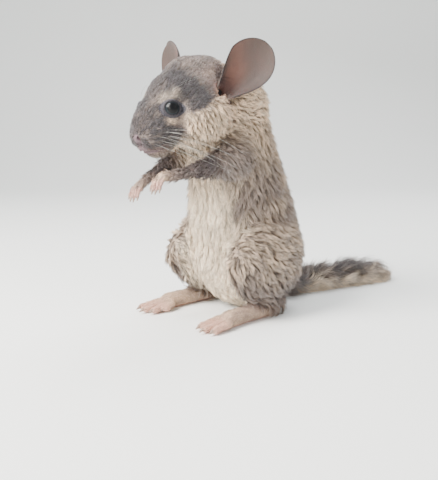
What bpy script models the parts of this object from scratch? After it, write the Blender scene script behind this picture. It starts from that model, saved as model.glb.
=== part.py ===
"""A life-size chinchilla sitting up on its haunches, forepaws held out in front of the chest.

Metres, +Z up, the floor at z = 0. The animal faces -Y and its left side is at +X. Places are
written as (side, forward, up): side is positive on the animal's left, forward is towards its nose.
The fur's outer surface is what is modelled. Where the coat breaks into locks, on the neck, the
trunk, the haunches and the tail, the locks are solids fused with the node that they grow from.
"""

import math
import random
from collections import namedtuple

import bmesh
import bpy
from mathutils import Matrix, Vector
from mathutils.bvhtree import BVHTree

MM = 0.001
GAP = 0.3 * MM  # kept between nodes that touch
SIDES = {"left": 1, "right": -1}

# Head: places in it are (side, ahead, above) its centre, before it is pitched nose down.
HEAD_FORWARD = 69 * MM
HEAD_HEIGHT = 160 * MM
HEAD_PITCH = math.radians(24)
HEAD_HALF_WIDTH = 25 * MM
NOSE_AHEAD = 47.5 * MM
NOSE_ABOVE = -7 * MM
NOSTRIL_SIDE = 2.6 * MM
MOUTH_BELOW_NOSE = 10.5 * MM
MOUTH_HALF_WIDTH = 11 * MM
MOUTH_CURVE = 16 * MM  # how far its corners lie behind its middle
GROOVE_RADIUS = 0.6 * MM

EYE_RADIUS = 6.6 * MM
EYE_SIDE = 14.2 * MM
EYE_AHEAD = 19 * MM
EYE_ABOVE = 3 * MM
EYE_OUTWARD = Vector((0.84, -0.41, 0.34)).normalized()  # of the left eye, in the head's own axes
LID_OFFSET = 3.6 * MM  # from the eye's centre out to the ring of the lids
LID_RING_RADIUS = 5.7 * MM
LID_THICKNESS = 0.9 * MM

EAR_LENGTH = 45.5 * MM
EAR_WIDTH = 37 * MM
EAR_THICKNESS = 1.4 * MM
EAR_ROOT = (20.5 * MM, -24 * MM, -3 * MM)  # (side, ahead, above) in the head
EAR_LEAN_OUT = 25 * MM  # how far the tip leans out over the ear's length
EAR_LEAN_BACK = {1: 20 * MM, -1: 4 * MM}  # the left ear is laid back more than the right
EAR_FACING = {1: math.radians(46), -1: math.radians(16)}  # of each cup, outward from straight ahead

# Trunk: heights above the floor, from the rump up.
RUMP_HALF_WIDTH = 44 * MM
BELLY_RADIUS = 42.5 * MM
CHEST_HALF_WIDTH = 37 * MM
SHOULDER_RADIUS = 34.5 * MM
NECK_HALF_WIDTH = 34 * MM
NECK_FORWARD = 26 * MM
NECK_HEIGHT = 156 * MM

# Hind leg of the left side.
THIGH_SIDE = 33 * MM
FOOT_SIDE = 35 * MM
HEEL_FORWARD = 4 * MM
FOOT_LENGTH = 56 * MM  # heel to the roots of the toes
TOE_LENGTH = 17 * MM

# Forelegs: the shoulder, elbow, wrist and knuckles of each side, in mm. The right paw hangs lower.
ARM = {
    1: ((24, 38, 121), (25, 56, 117), (17, 89, 110), (15, 97, 110)),
    -1: ((24, 38, 121), (25, 54, 116), (16, 85, 107.5), (15, 93.5, 102)),
}
FINGER_REACH = 7 * MM  # forward of the knuckles, and down from them
FINGER_DROP = 8.5 * MM

TAIL_LENGTH = 112 * MM  # of the core, whose last locks reach further
TAIL_ROOT_RADIUS = 7.5 * MM
TAIL_FULL_RADIUS = 9 * MM  # where the tail is bushiest
TAIL_FULL_AT = 0.75
TAIL_SWING = 26 * MM  # how far the tip lies to the left

CUTTER_DETAIL = 2  # subdivisions of the balls that part the nodes

# Locks: length, breadth, height of the tip above the coat, and how far each may turn aside.
Coat = namedtuple("Coat", "length breadth lift sway")
RUFF_COAT = Coat(25 * MM, 14 * MM, 3.6 * MM, 0.6)
TRUNK_COAT = Coat(31 * MM, 15 * MM, 3.6 * MM, 0.5)
HAUNCH_COAT = Coat(26 * MM, 13 * MM, 3.6 * MM, 0.6)
TAIL_COAT = Coat(30 * MM, 10 * MM, 9.0 * MM, 0.3)
LOCK_CLEARANCE = 1.0 * MM  # from the locks to the other nodes
LOCK_SEED = 11

Ball = namedtuple("Ball", "centre radii turn")
Limb = namedtuple("Limb", "start end start_radius end_radius")


# ---------------------------------------------------------------- frame and forms


def at(side, forward, up):
    return Vector((side, -forward, up))


HEAD_FRAME = Matrix.Translation(at(0, HEAD_FORWARD, HEAD_HEIGHT)) @ Matrix.Rotation(HEAD_PITCH, 4, "X")


def in_head(side, ahead, above):
    return HEAD_FRAME @ at(side, ahead, above)


def ball(centre, side_radius, forward_radius, up_radius, turn=None):
    return Ball(centre, (side_radius, forward_radius, up_radius), turn or Matrix.Identity(4))


def head_ball(place, side_radius, ahead_radius, above_radius):
    turn = Matrix.Rotation(HEAD_PITCH, 4, "X")
    return ball(in_head(*place), side_radius, ahead_radius, above_radius, turn)


def trunk_forms():
    rump, belly = at(0, -1 * MM, 45 * MM), at(0, 6 * MM, 73 * MM)
    chest, shoulders = at(0, 13 * MM, 104 * MM), at(0, 20 * MM, 130 * MM)
    neck = at(0, NECK_FORWARD, NECK_HEIGHT)
    return [
        ball(rump, RUMP_HALF_WIDTH, 46 * MM, 46 * MM),
        Limb(rump, belly, RUMP_HALF_WIDTH, BELLY_RADIUS),
        Limb(belly, chest, BELLY_RADIUS, CHEST_HALF_WIDTH),
        Limb(chest, shoulders, CHEST_HALF_WIDTH, SHOULDER_RADIUS),
        Limb(shoulders, neck, SHOULDER_RADIUS, 31 * MM),
    ]


def neck_forms():
    return [
        ball(at(0, NECK_FORWARD, NECK_HEIGHT), NECK_HALF_WIDTH, 35 * MM, 33 * MM),
        ball(at(0, 46 * MM, 152 * MM), 29 * MM, 27 * MM, 27 * MM),
    ]


def head_forms():
    forms = [
        head_ball((0, -8 * MM, 1 * MM), HEAD_HALF_WIDTH, 31 * MM, 23.5 * MM),
        head_ball((0, 13 * MM, -3 * MM), 20.5 * MM, 23 * MM, 19.5 * MM),
        head_ball((0, 30 * MM, -6 * MM), 16.5 * MM, 16 * MM, 13.5 * MM),
        head_ball((0, -14 * MM, 6 * MM), 20 * MM, 34 * MM, 21 * MM),
        head_ball((0, 29 * MM, -19.5 * MM), 9.5 * MM, 12 * MM, 9 * MM),
        head_ball((0, 37 * MM, -1 * MM), 9 * MM, 8.5 * MM, 7.5 * MM),
        head_ball((0, 36 * MM, -14 * MM), 10 * MM, 8.5 * MM, 7 * MM),
        head_ball((0, NOSE_AHEAD - 4.3 * MM, NOSE_ABOVE), 5 * MM, 4.3 * MM, 5 * MM),
        head_ball((0, 8 * MM, -15 * MM), 18 * MM, 21 * MM, 11 * MM),
        head_ball((0, 4 * MM, 8.5 * MM), 20 * MM, 24 * MM, 15 * MM),
        head_ball((0, 22 * MM, 2.5 * MM), 13.5 * MM, 18 * MM, 11 * MM),
    ]
    for side in SIDES.values():
        forms.append(head_ball((side * 7.4 * MM, 35.5 * MM, -10.5 * MM), 8 * MM, 8.5 * MM, 7.2 * MM))
        forms.append(head_ball((side * 17 * MM, -3 * MM, -10 * MM), 16 * MM, 25 * MM, 18 * MM))
    return forms


def haunch_forms(side):
    lean = Matrix.Rotation(math.radians(12), 4, "X")
    knee = at(side * 35 * MM, 34 * MM, 44 * MM)
    return [
        ball(at(side * THIGH_SIDE, 12 * MM, 44 * MM), 18 * MM, 38 * MM, 35 * MM, lean),
        ball(knee, 14 * MM, 20 * MM, 20 * MM),
        Limb(knee + at(0, 0, -10 * MM), at(side * FOOT_SIDE, HEEL_FORWARD, 12 * MM), 12 * MM, 9 * MM),
    ]


def foot_toe_tips(side):
    """The ends of the three long toes and of the short inner one."""
    root_forward = HEEL_FORWARD + FOOT_LENGTH
    spread = [(-7.5, 0.82), (0.0, 1.0), (7.5, 0.86), (-9.5, 0.25)]
    return [
        at(side * (FOOT_SIDE + across * MM), root_forward + share * TOE_LENGTH, 3.2 * MM)
        for across, share in spread
    ]


def foot_forms(side):
    heel = at(side * (FOOT_SIDE - 1 * MM), HEEL_FORWARD, 6.5 * MM)
    middle = at(side * FOOT_SIDE, HEEL_FORWARD + 0.55 * FOOT_LENGTH, 6 * MM)
    front = at(side * FOOT_SIDE, HEEL_FORWARD + 0.88 * FOOT_LENGTH, 5.5 * MM)
    forms = [Limb(heel, middle, 7 * MM, 6.5 * MM), Limb(middle, front, 6.5 * MM, 7 * MM)]
    for tip in foot_toe_tips(side):
        root = front.lerp(tip, 0.25)
        root.x = front.x + 0.75 * (tip.x - front.x)
        root.z = 4.5 * MM
        forms.append(Limb(root, tip, 3.8 * MM, 2.8 * MM))
    return forms


def foot_claws(side):
    return [
        Limb(tip + at(0, 1.4 * MM, 0.3 * MM), tip + at(0, 4.6 * MM, -1.2 * MM), 1.3 * MM, 0.5 * MM)
        for tip in foot_toe_tips(side)
    ]


def arm_places(side):
    """(shoulder, elbow, wrist, palm) of one side."""
    return [at(side * across, forward, up) * MM for across, forward, up in ARM[side]]


def foreleg_forms(side):
    shoulder, elbow, wrist, _ = arm_places(side)
    return [
        ball(shoulder, 13 * MM, 17 * MM, 15 * MM),
        Limb(shoulder, elbow, 12 * MM, 9 * MM),
        Limb(elbow, wrist, 8 * MM, 3.6 * MM),
    ]


def finger_joints(side):
    """(root, bend, tip) of each finger: forward from the knuckles, then curled down."""
    *_, palm = arm_places(side)
    joints = []
    for across, reach in ((-5.2, 0.82), (-1.8, 1.0), (1.8, 1.0), (5.2, 0.85)):
        root = palm + at(0.55 * across * MM, 0, 0)
        bend = palm + at(0.85 * across * MM, 0.62 * reach * FINGER_REACH, -0.3 * reach * FINGER_DROP)
        tip = palm + at(across * MM, reach * FINGER_REACH, -reach * FINGER_DROP)
        joints.append((root, bend, tip))
    return joints


def forepaw_forms(side):
    *_, wrist, palm = arm_places(side)
    forms = [Limb(wrist, palm, 3.6 * MM, 3.7 * MM)]
    for root, bend, tip in finger_joints(side):
        forms.append(Limb(root, bend, 2.0 * MM, 1.8 * MM))
        forms.append(Limb(bend, tip, 1.8 * MM, 1.4 * MM))
    thumb = at(-side * 4 * MM, 1 * MM, -3.5 * MM)
    forms.append(Limb(palm, palm + thumb, 1.8 * MM, 1.3 * MM))
    return forms


def forepaw_claws(side):
    curve = at(0, 0.8 * MM, -2.8 * MM)
    return [Limb(tip + 0.2 * curve, tip + curve, 0.9 * MM, 0.4 * MM) for *_, tip in finger_joints(side)]


def tail_radius(share):
    swelling = math.sin(math.pi / 2 * min(1.0, share / TAIL_FULL_AT))
    taper = max(0.0, share - TAIL_FULL_AT) / (1 - TAIL_FULL_AT)
    return TAIL_ROOT_RADIUS + swelling * (TAIL_FULL_RADIUS - TAIL_ROOT_RADIUS) - 3 * MM * taper**2


def tail_point(share):
    """A point of the tail's line: it drops from the rump to the floor and bends to the left."""
    forward = -40 * MM - share * TAIL_LENGTH
    lying = tail_radius(share) - 0.4 * MM
    raised = 8 * MM * max(0.0, 1 - share / 0.25) ** 2
    return at(TAIL_SWING * share**1.7, forward, lying + raised)


def tail_forms():
    forms = [Limb(at(0, -24 * MM, 22 * MM), tail_point(0), 13 * MM, tail_radius(0))]
    steps = 6
    for i in range(steps):
        near, far = i / steps, (i + 1) / steps
        forms.append(Limb(tail_point(near), tail_point(far), tail_radius(near), tail_radius(far)))
    return forms


# ---------------------------------------------------------------- regions that part the body


def region_foot(side):
    return [
        ball(at(side * FOOT_SIDE, HEEL_FORWARD - 2 * MM, 2 * MM), 12 * MM, 10 * MM, 11 * MM),
        ball(at(side * FOOT_SIDE, HEEL_FORWARD + FOOT_LENGTH, 2 * MM), 20 * MM, 30 * MM, 12 * MM),
    ]


def region_forepaw(side):
    *_, wrist, palm = arm_places(side)
    return [
        ball(wrist.lerp(palm, 0.62), 12 * MM, 8 * MM, 11 * MM),
        ball(palm + at(0, 10 * MM, -7 * MM), 14 * MM, 14 * MM, 14 * MM),
    ]


def region_foreleg(side):
    _, elbow, wrist, palm = arm_places(side)
    return [
        ball(elbow + at(0, -6 * MM, 1 * MM), 12.5 * MM, 12 * MM, 12.5 * MM),
        ball(wrist.lerp(palm, 0.3), 11 * MM, 9 * MM, 11 * MM),
    ]


def region_haunch(side):
    return [
        ball(at(side * 42 * MM, 6 * MM, 44 * MM), 23 * MM, 31 * MM, 33 * MM),
        ball(at(side * 40 * MM, 34 * MM, 42 * MM), 24 * MM, 25 * MM, 24 * MM),
        ball(at(side * 40 * MM, 8 * MM, 18 * MM), 17 * MM, 22 * MM, 14 * MM),
    ]


def region_tail():
    return [ball(tail_point(share) - at(0, 1 * MM, 0), 16 * MM, 12 * MM, 16 * MM) for share in (0, 0.5, 1)]


def region_head():
    return [
        head_ball((0, -12 * MM, 7 * MM), 40 * MM, 33 * MM, 33 * MM),
        head_ball((0, 30 * MM, -4 * MM), 34 * MM, 36 * MM, 34 * MM),
        head_ball((0, 4 * MM, -12 * MM), 36 * MM, 22 * MM, 20 * MM),
    ]


def region_neck():
    """A block over the shoulders, its floor sloping down towards the throat."""
    tilt = Matrix.Rotation(math.radians(8), 4, "X")
    low, high = 130 * MM, 215 * MM
    half = 100 * MM
    corners = []
    for x in (-half, half):
        for y in (-half, half):
            for z in (low, high):
                corners.append(at(0, 30 * MM, 0) + tilt @ Vector((x, y, z)))
    return corners


# ---------------------------------------------------------------- mesh tools


def add_ball(bm, form, grow=0.0, detail=3):
    radii = [radius + grow for radius in form.radii]
    size = Matrix.Diagonal((*radii, 1))
    place = Matrix.Translation(form.centre) @ form.turn @ size
    bmesh.ops.create_icosphere(bm, subdivisions=detail, radius=1, matrix=place)


def hull_of(points):
    """The closed convex surface around the points."""
    bm = bmesh.new()
    for point in points:
        bm.verts.new(point)
    made = bmesh.ops.convex_hull(bm, input=bm.verts)
    unused = {item for key in ("geom_interior", "geom_unused") for item in made[key]}
    inside = [item for item in unused if isinstance(item, bmesh.types.BMVert)]
    bmesh.ops.delete(bm, geom=inside, context="VERTS")
    bmesh.ops.recalc_face_normals(bm, faces=bm.faces)
    return bm


def ball_points(form, grow=0.0, detail=3):
    template = bmesh.new()
    add_ball(template, form, grow, detail)
    points = [vert.co.copy() for vert in template.verts]
    template.free()
    return points


def add_limb(bm, form, grow=0.0, detail=3):
    """A tapered capsule: the hull of a ball at each end."""
    points = []
    for centre, radius in ((form.start, form.start_radius), (form.end, form.end_radius)):
        points += ball_points(ball(centre, radius, radius, radius), grow, detail)
    append(bm, hull_of(points))


def append(bm, piece):
    mesh = bpy.data.meshes.new("piece")
    piece.to_mesh(mesh)
    piece.free()
    bm.from_mesh(mesh)
    bpy.data.meshes.remove(mesh)


def add_form(bm, form, grow=0.0, detail=3):
    add = add_ball if isinstance(form, Ball) else add_limb
    add(bm, form, grow, detail)


def new_object(name, bm):
    mesh = bpy.data.meshes.new(name)
    bm.to_mesh(mesh)
    bm.free()
    obj = bpy.data.objects.new(name, mesh)
    bpy.context.scene.collection.objects.link(obj)
    return obj


def discard(obj):
    mesh = obj.data
    bpy.data.objects.remove(obj)
    bpy.data.meshes.remove(mesh)


def bake(obj):
    """Replaces the object's mesh by the one that its modifiers make."""
    graph = bpy.context.evaluated_depsgraph_get()
    made = bpy.data.meshes.new_from_object(obj.evaluated_get(graph), depsgraph=graph)
    obj.modifiers.clear()
    old = obj.data
    obj.data = made
    bpy.data.meshes.remove(old)


def fuse(name, forms, voxel, soften, facet):
    """One closed skin over overlapping forms, with creases softened, in triangles about facet long."""
    bm = bmesh.new()
    for form in forms:
        add_form(bm, form)
    obj = new_object(name, bm)
    remesh = obj.modifiers.new("fuse", "REMESH")
    remesh.mode = "VOXEL"
    remesh.voxel_size = voxel
    smooth = obj.modifiers.new("soften", "SMOOTH")
    smooth.factor = 0.5
    smooth.iterations = soften
    bake(obj)
    area = sum(face.area for face in obj.data.polygons)
    wanted = area / (0.433 * facet**2)
    decimate = obj.modifiers.new("facets", "DECIMATE")
    decimate.ratio = min(1.0, wanted / (2 * len(obj.data.polygons)))
    bake(obj)
    return obj


def is_closed(mesh):
    """Splits the mesh into triangles, and tells whether each edge then has one on either side."""
    for method in ("BEAUTY", "EAR_CLIP"):
        bm = bmesh.new()
        bm.from_mesh(mesh)
        bmesh.ops.triangulate(bm, faces=bm.faces, ngon_method=method)
        closed = len(bm.faces) > 0 and all(len(edge.link_faces) == 2 for edge in bm.edges)
        if closed:
            bm.to_mesh(mesh)
        bm.free()
        if closed:
            return True
    return False


def boolean(obj, other, operation):
    """Uses the EXACT solver, and MANIFOLD where EXACT leaves the surface open."""
    before = obj.data.copy()
    for solver in ("EXACT", "MANIFOLD"):
        obj.data = before.copy()
        modifier = obj.modifiers.new(operation.lower(), "BOOLEAN")
        modifier.operation = operation
        if isinstance(other, bpy.types.Collection):
            modifier.operand_type = "COLLECTION"
            modifier.collection = other
        else:
            modifier.object = other
        modifier.solver = solver
        bake(obj)
        if is_closed(obj.data):
            break
    bpy.data.meshes.remove(before)


def block(region, grow=0.0):
    """The convex solid around a region: balls, or the corners of a block."""
    points = []
    for item in region:
        if isinstance(item, Ball):
            points += ball_points(item, grow, CUTTER_DETAIL)
        else:
            shifts = (-grow, grow)
            points += [item + Vector((dx, dy, dz)) for dx in shifts for dy in shifts for dz in shifts]
    return new_object("cutter", hull_of(points))


def keep_inside(obj, region):
    cutter = block(region)
    boolean(obj, cutter, "INTERSECT")
    discard(cutter)


def cut_away(obj, region):
    cutter = block(region, GAP)
    boolean(obj, cutter, "DIFFERENCE")
    discard(cutter)


def cut_floor(obj):
    """A flat where the node rests on the floor."""
    corners = [Vector((x, y, z)) for x in (-0.4, 0.4) for y in (-0.4, 0.4) for z in (-0.1, 0.0)]
    cutter = block(corners)
    boolean(obj, cutter, "DIFFERENCE")
    discard(cutter)


def islands(bm):
    left = set(bm.verts)
    found = []
    while left:
        start = left.pop()
        island, edge_of = {start}, [start]
        while edge_of:
            vert = edge_of.pop()
            for edge in vert.link_edges:
                other = edge.other_vert(vert)
                if other not in island:
                    island.add(other)
                    edge_of.append(other)
        left -= island
        found.append(island)
    return found


def keep_largest(obj):
    """Drops loose scraps and the walls of sealed hollows."""
    bm = bmesh.new()
    bm.from_mesh(obj.data)
    groups = sorted(islands(bm), key=len)
    loose = [vert for group in groups[:-1] for vert in group]
    bmesh.ops.delete(bm, geom=loose, context="VERTS")
    bm.to_mesh(obj.data)
    bm.free()


def grown(obj, distance):
    """A copy of a closed object, moved out along its normals."""
    bm = bmesh.new()
    bm.from_mesh(obj.data)
    bm.normal_update()
    moves = [(vert, vert.normal * distance) for vert in bm.verts]
    for vert, move in moves:
        vert.co += move
    return new_object("grown", bm)


def surface_of(obj):
    return BVHTree.FromPolygons(
        [vert.co for vert in obj.data.vertices],
        [tuple(face.vertices) for face in obj.data.polygons],
    )


def paint(obj, colour, roughness=0.8):
    material = bpy.data.materials.get(obj.name) or bpy.data.materials.new(obj.name)
    material.use_nodes = True
    shader = material.node_tree.nodes["Principled BSDF"]
    shader.inputs["Base Color"].default_value = (*colour, 1)
    shader.inputs["Roughness"].default_value = roughness
    shader.inputs["Metallic"].default_value = 0.0
    obj.data.materials.clear()
    obj.data.materials.append(material)
    for face in obj.data.polygons:
        face.material_index = 0
    obj.data.shade_smooth()
    obj.data.set_sharp_from_angle(angle=math.radians(50))


# ---------------------------------------------------------------- locks of the coat


def lock_path(surface, root, heading, length, turn):
    """Four places down the lie of the coat, each with the skin's normal and the way ahead."""
    path = []
    place, heading = root.copy(), heading.normalized()
    for _ in range(4):
        place, normal, *_ = surface.find_nearest(place)
        heading = (heading - heading.dot(normal) * normal).normalized()
        path.append((place.copy(), normal.copy(), heading.copy()))
        place = place + heading * length / 3
        heading = Matrix.Rotation(turn / 3, 3, normal) @ heading
    return path


def lock_points(path, breadth, lift):
    """Three rings, each two edges and a ridge, and the tip. The root is sunk, the tip stands clear."""
    points = []
    shape = ((0.6, -2.2 * MM, 1.6 * MM), (1.0, 0.5 * MM, 1.7 * MM), (0.72, 0.45 * lift, 1.3 * MM))
    for (place, normal, heading), (share, rise, ridge) in zip(path, shape):
        middle = place + normal * rise
        sideways = heading.cross(normal) * share * breadth / 2
        points += [middle - sideways, middle + normal * ridge, middle + sideways]
    place, normal, _ = path[-1]
    return [*points, place + normal * lift]


LOCK_FACES = [(0, 1, 2)]
for ring in (0, 3):
    for corner in range(3):
        beside = (corner + 1) % 3
        LOCK_FACES.append((ring + beside, ring + corner, ring + 3 + corner, ring + 3 + beside))
LOCK_FACES += [(6 + (corner + 1) % 3, 6 + corner, 9) for corner in range(3)]


def lock_object(points):
    bm = bmesh.new()
    verts = [bm.verts.new(point) for point in points]
    for face in LOCK_FACES:
        bm.faces.new([verts[i] for i in face])
    bmesh.ops.recalc_face_normals(bm, faces=bm.faces)
    return new_object("lock", bm)


def is_clear(points, neighbours):
    """True where the lock keeps away from the other nodes and from the floor."""
    if min(point.z for point in points) < 0.4 * MM:
        return False
    for surface in neighbours:
        for i in range(9):
            start, end = points[i], points[min(i + 3, 9)]
            step = end - start
            if surface.ray_cast(start, step.normalized(), step.length)[0] is not None:
                return False
            for place in (start, start + 0.5 * step, end):
                if surface.find_nearest(place, LOCK_CLEARANCE)[0] is not None:
                    return False
    return True


def add_locks(obj, roots, coat, others):
    """Fuses locks with the node. roots are (place, heading) pairs, in the order that they overlap."""
    rng = random.Random(f"{LOCK_SEED} {obj.name}")
    surface = surface_of(obj)
    neighbours = [surface_of(other) for other in others]
    locks = bpy.data.collections.new("locks")
    for root, heading in roots:
        turn = rng.uniform(-coat.sway, coat.sway)
        length = coat.length * rng.uniform(0.85, 1.15)
        breadth = coat.breadth * rng.uniform(0.85, 1.15)
        lift = coat.lift * rng.uniform(0.85, 1.25)
        for share in (1.0, 0.7):
            path = lock_path(surface, root, heading, share * length, turn)
            points = lock_points(path, share * breadth, lift)
            if is_clear(points, neighbours):
                locks.objects.link(lock_object(points))
                break
    boolean(obj, locks, "UNION")
    for lock in list(locks.objects):
        discard(lock)
    bpy.data.collections.remove(locks)
    keep_largest(obj)


def neck_roots(surface):
    """Rows round the neck, from the nape down to the shoulders."""
    roots = []
    middle = at(0, NECK_FORWARD, NECK_HEIGHT)
    for row, (raised, count) in enumerate(((62, 7), (40, 11), (18, 14), (-4, 15))):
        for i in range(count):
            angle = 2 * math.pi * (i + 0.5 * (row % 2)) / count
            outward = at(math.sin(angle), math.cos(angle), math.tan(math.radians(raised)))
            hit, *_ = surface.ray_cast(middle, outward.normalized())
            if hit is not None:
                roots.append((hit, at(0.3 * math.sin(angle), -0.6, -1)))
    return roots[::-1]


def trunk_roots(surface):
    """Rows down the back and the flanks. The belly is smooth."""
    roots = []
    for row in range(5):
        height = (127 - 22 * row) * MM
        middle = at(0, 8 * MM, height)
        for i in range(15):
            angle = 2 * math.pi * (i + 0.5 * (row % 2)) / 15
            outward = at(math.sin(angle), math.cos(angle), 0)
            if math.cos(angle) > 0.35:
                continue
            hit, *_ = surface.ray_cast(middle, outward)
            if hit is not None:
                roots.append((hit, at(0, -0.25, -1)))
    return roots[::-1]


def haunch_roots(surface, side):
    """Rows across the outside of the thigh."""
    roots = []
    for row in range(4):
        for i in range(5):
            start = at(side * 30 * MM, (-18 + 17 * i - 8 * (row % 2)) * MM, (68 - 14 * row) * MM)
            hit, *_ = surface.ray_cast(start, Vector((side, 0, 0)))
            if hit is not None:
                roots.append((hit, at(0, -0.2, -1)))
    return roots[::-1]


def tail_roots(surface):
    """Half rings of long locks over the top and sides of the tail, sweeping towards its tip."""
    roots = []
    for ring in range(8):
        share = 0.1 + 0.12 * ring
        middle, ahead = tail_point(share), (tail_point(share + 0.02) - tail_point(share)).normalized()
        across = ahead.cross(Vector((0, 0, 1))).normalized()
        for place in ((-1.5, -0.5, 0.5, 1.5) if ring % 2 else (-1, 0, 1)):
            angle = math.radians(52) * place
            outward = math.cos(angle) * Vector((0, 0, 1)) + math.sin(angle) * across
            hit, *_ = surface.ray_cast(middle, outward)
            if hit is not None:
                roots.append((hit, ahead))
    return roots


# ---------------------------------------------------------------- the nodes

COAT = (0.47, 0.42, 0.37)
HEAD_GREY = (0.36, 0.33, 0.32)
SKIN = (0.62, 0.44, 0.40)
EYE_BLACK = (0.01, 0.01, 0.012)


def both_sides(forms_of):
    return [form for side in SIDES.values() for form in forms_of(side)]


def body_forms():
    return [
        *trunk_forms(),
        *neck_forms(),
        *head_forms(),
        *both_sides(haunch_forms),
        *both_sides(foreleg_forms),
        *tail_forms(),
    ]


def copy_of(obj, name):
    made = bpy.data.objects.new(name, obj.data.copy())
    bpy.context.scene.collection.objects.link(made)
    return made


def make_torso(body):
    torso = copy_of(body, "torso")
    for region in (region_neck(), region_tail()):
        cut_away(torso, region)
    for side in SIDES.values():
        for region_of in (region_haunch, region_foreleg, region_foot):
            cut_away(torso, region_of(side))
    cut_floor(torso)
    keep_largest(torso)
    return torso


def make_neck(body):
    neck = copy_of(body, "neck")
    keep_inside(neck, region_neck())
    cut_away(neck, region_head())
    for side in SIDES.values():
        cut_away(neck, region_foreleg(side))
    keep_largest(neck)
    return neck


def make_head():
    head = fuse("head", [*trunk_forms(), *neck_forms(), *head_forms()], 1.2 * MM, 14, 6.8 * MM)
    keep_inside(head, region_head())
    for side in SIDES.values():
        add_lids(head, side)
        cut_nostril(head, side)
    cut_mouth(head)
    keep_largest(head)
    return head


def eye_centre(side):
    return in_head(side * EYE_SIDE, EYE_AHEAD, EYE_ABOVE)


def eye_axis(side):
    outward = Vector((side * EYE_OUTWARD.x, EYE_OUTWARD.y, EYE_OUTWARD.z))
    return (HEAD_FRAME.to_3x3() @ outward).normalized()


def add_lids(head, side):
    """The rims of both lids, a ring round the eye, fused with the head before the socket is cut."""
    ring_centre = eye_centre(side) + LID_OFFSET * eye_axis(side)
    turn = eye_axis(side).to_track_quat("Z", "Y").to_matrix().to_4x4()
    bm = bmesh.new()
    bmesh.ops.create_circle(bm, segments=6, radius=LID_THICKNESS, matrix=Matrix.Rotation(math.pi / 2, 4, "X"))
    bmesh.ops.translate(bm, verts=bm.verts, vec=(LID_RING_RADIUS, 0, 0))
    turned = {"cent": (0, 0, 0), "axis": (0, 0, 1), "angle": 2 * math.pi, "steps": 20, "use_merge": True}
    bmesh.ops.spin(bm, geom=bm.verts[:] + bm.edges[:], **turned)
    bmesh.ops.remove_doubles(bm, verts=bm.verts, dist=0.01 * MM)
    bmesh.ops.recalc_face_normals(bm, faces=bm.faces)
    bmesh.ops.transform(bm, matrix=Matrix.Translation(ring_centre) @ turn, verts=bm.verts)
    ring = new_object("lids", bm)
    boolean(head, ring, "UNION")
    discard(ring)
    socket = bmesh.new()
    add_ball(socket, ball(eye_centre(side), *[EYE_RADIUS + GAP] * 3))
    cutter = new_object("socket", socket)
    boolean(head, cutter, "DIFFERENCE")
    discard(cutter)


def cut_nostril(head, side):
    turn = HEAD_FRAME.to_3x3().to_4x4() @ Matrix.Rotation(math.radians(-side * 28), 4, "Y")
    bm = bmesh.new()
    place = in_head(side * NOSTRIL_SIDE, NOSE_AHEAD - 0.8 * MM, NOSE_ABOVE + 0.5 * MM)
    nostril = ball(place, 0.8 * MM, 2.4 * MM, 1.7 * MM, turn)
    add_ball(bm, nostril, detail=2)
    cutter = new_object("nostril", bm)
    boolean(head, cutter, "DIFFERENCE")
    discard(cutter)


def on_surface(surface, side, ahead, above):
    """The skin's point on the line from the middle of the muzzle through a place in the head."""
    middle = in_head(0, 26 * MM, -9 * MM)
    towards = in_head(side, ahead, above) - middle
    hit, *_ = surface.ray_cast(middle, towards.normalized())
    return hit


def groove(points):
    """A thin round rod along the points, closed at both ends."""
    curve = bpy.data.curves.new("groove", "CURVE")
    curve.dimensions = "3D"
    curve.bevel_depth = GROOVE_RADIUS
    curve.bevel_resolution = 1
    curve.use_fill_caps = True
    spline = curve.splines.new("POLY")
    spline.points.add(len(points) - 1)
    for point, place in zip(spline.points, points):
        point.co = (*place, 1)
    line = bpy.data.objects.new("groove", curve)
    bpy.context.scene.collection.objects.link(line)
    graph = bpy.context.evaluated_depsgraph_get()
    mesh = bpy.data.meshes.new_from_object(line.evaluated_get(graph), depsgraph=graph)
    bpy.data.objects.remove(line)
    bm = bmesh.new()
    bm.from_mesh(mesh)
    bpy.data.meshes.remove(mesh)
    bmesh.ops.remove_doubles(bm, verts=bm.verts, dist=0.01 * MM)
    bmesh.ops.recalc_face_normals(bm, faces=bm.faces)
    return new_object("groove", bm)


def cut_mouth(head):
    """The cleft under the nose and the line between the lips, as grooves that follow the skin."""
    surface = surface_of(head)
    lip = NOSE_ABOVE - MOUTH_BELOW_NOSE
    cleft = [(0, NOSE_AHEAD - 0.5 * MM, NOSE_ABOVE - 4 * MM), (0, NOSE_AHEAD - 3.5 * MM, lip)]
    lips = []
    for i in range(-5, 6):
        across = i / 5
        ahead = NOSE_AHEAD - 3.5 * MM - MOUTH_CURVE * across**2
        lips.append((across * MOUTH_HALF_WIDTH, ahead, lip - 1.8 * MM * abs(across)))
    for places in (cleft, lips):
        cutter = groove([on_surface(surface, *place) for place in places])
        boolean(head, cutter, "DIFFERENCE")
        discard(cutter)


def make_eye(name, side):
    bm = bmesh.new()
    add_ball(bm, ball(eye_centre(side), *[EYE_RADIUS] * 3), detail=3)
    return new_object(f"eye_{name}", bm)


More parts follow.
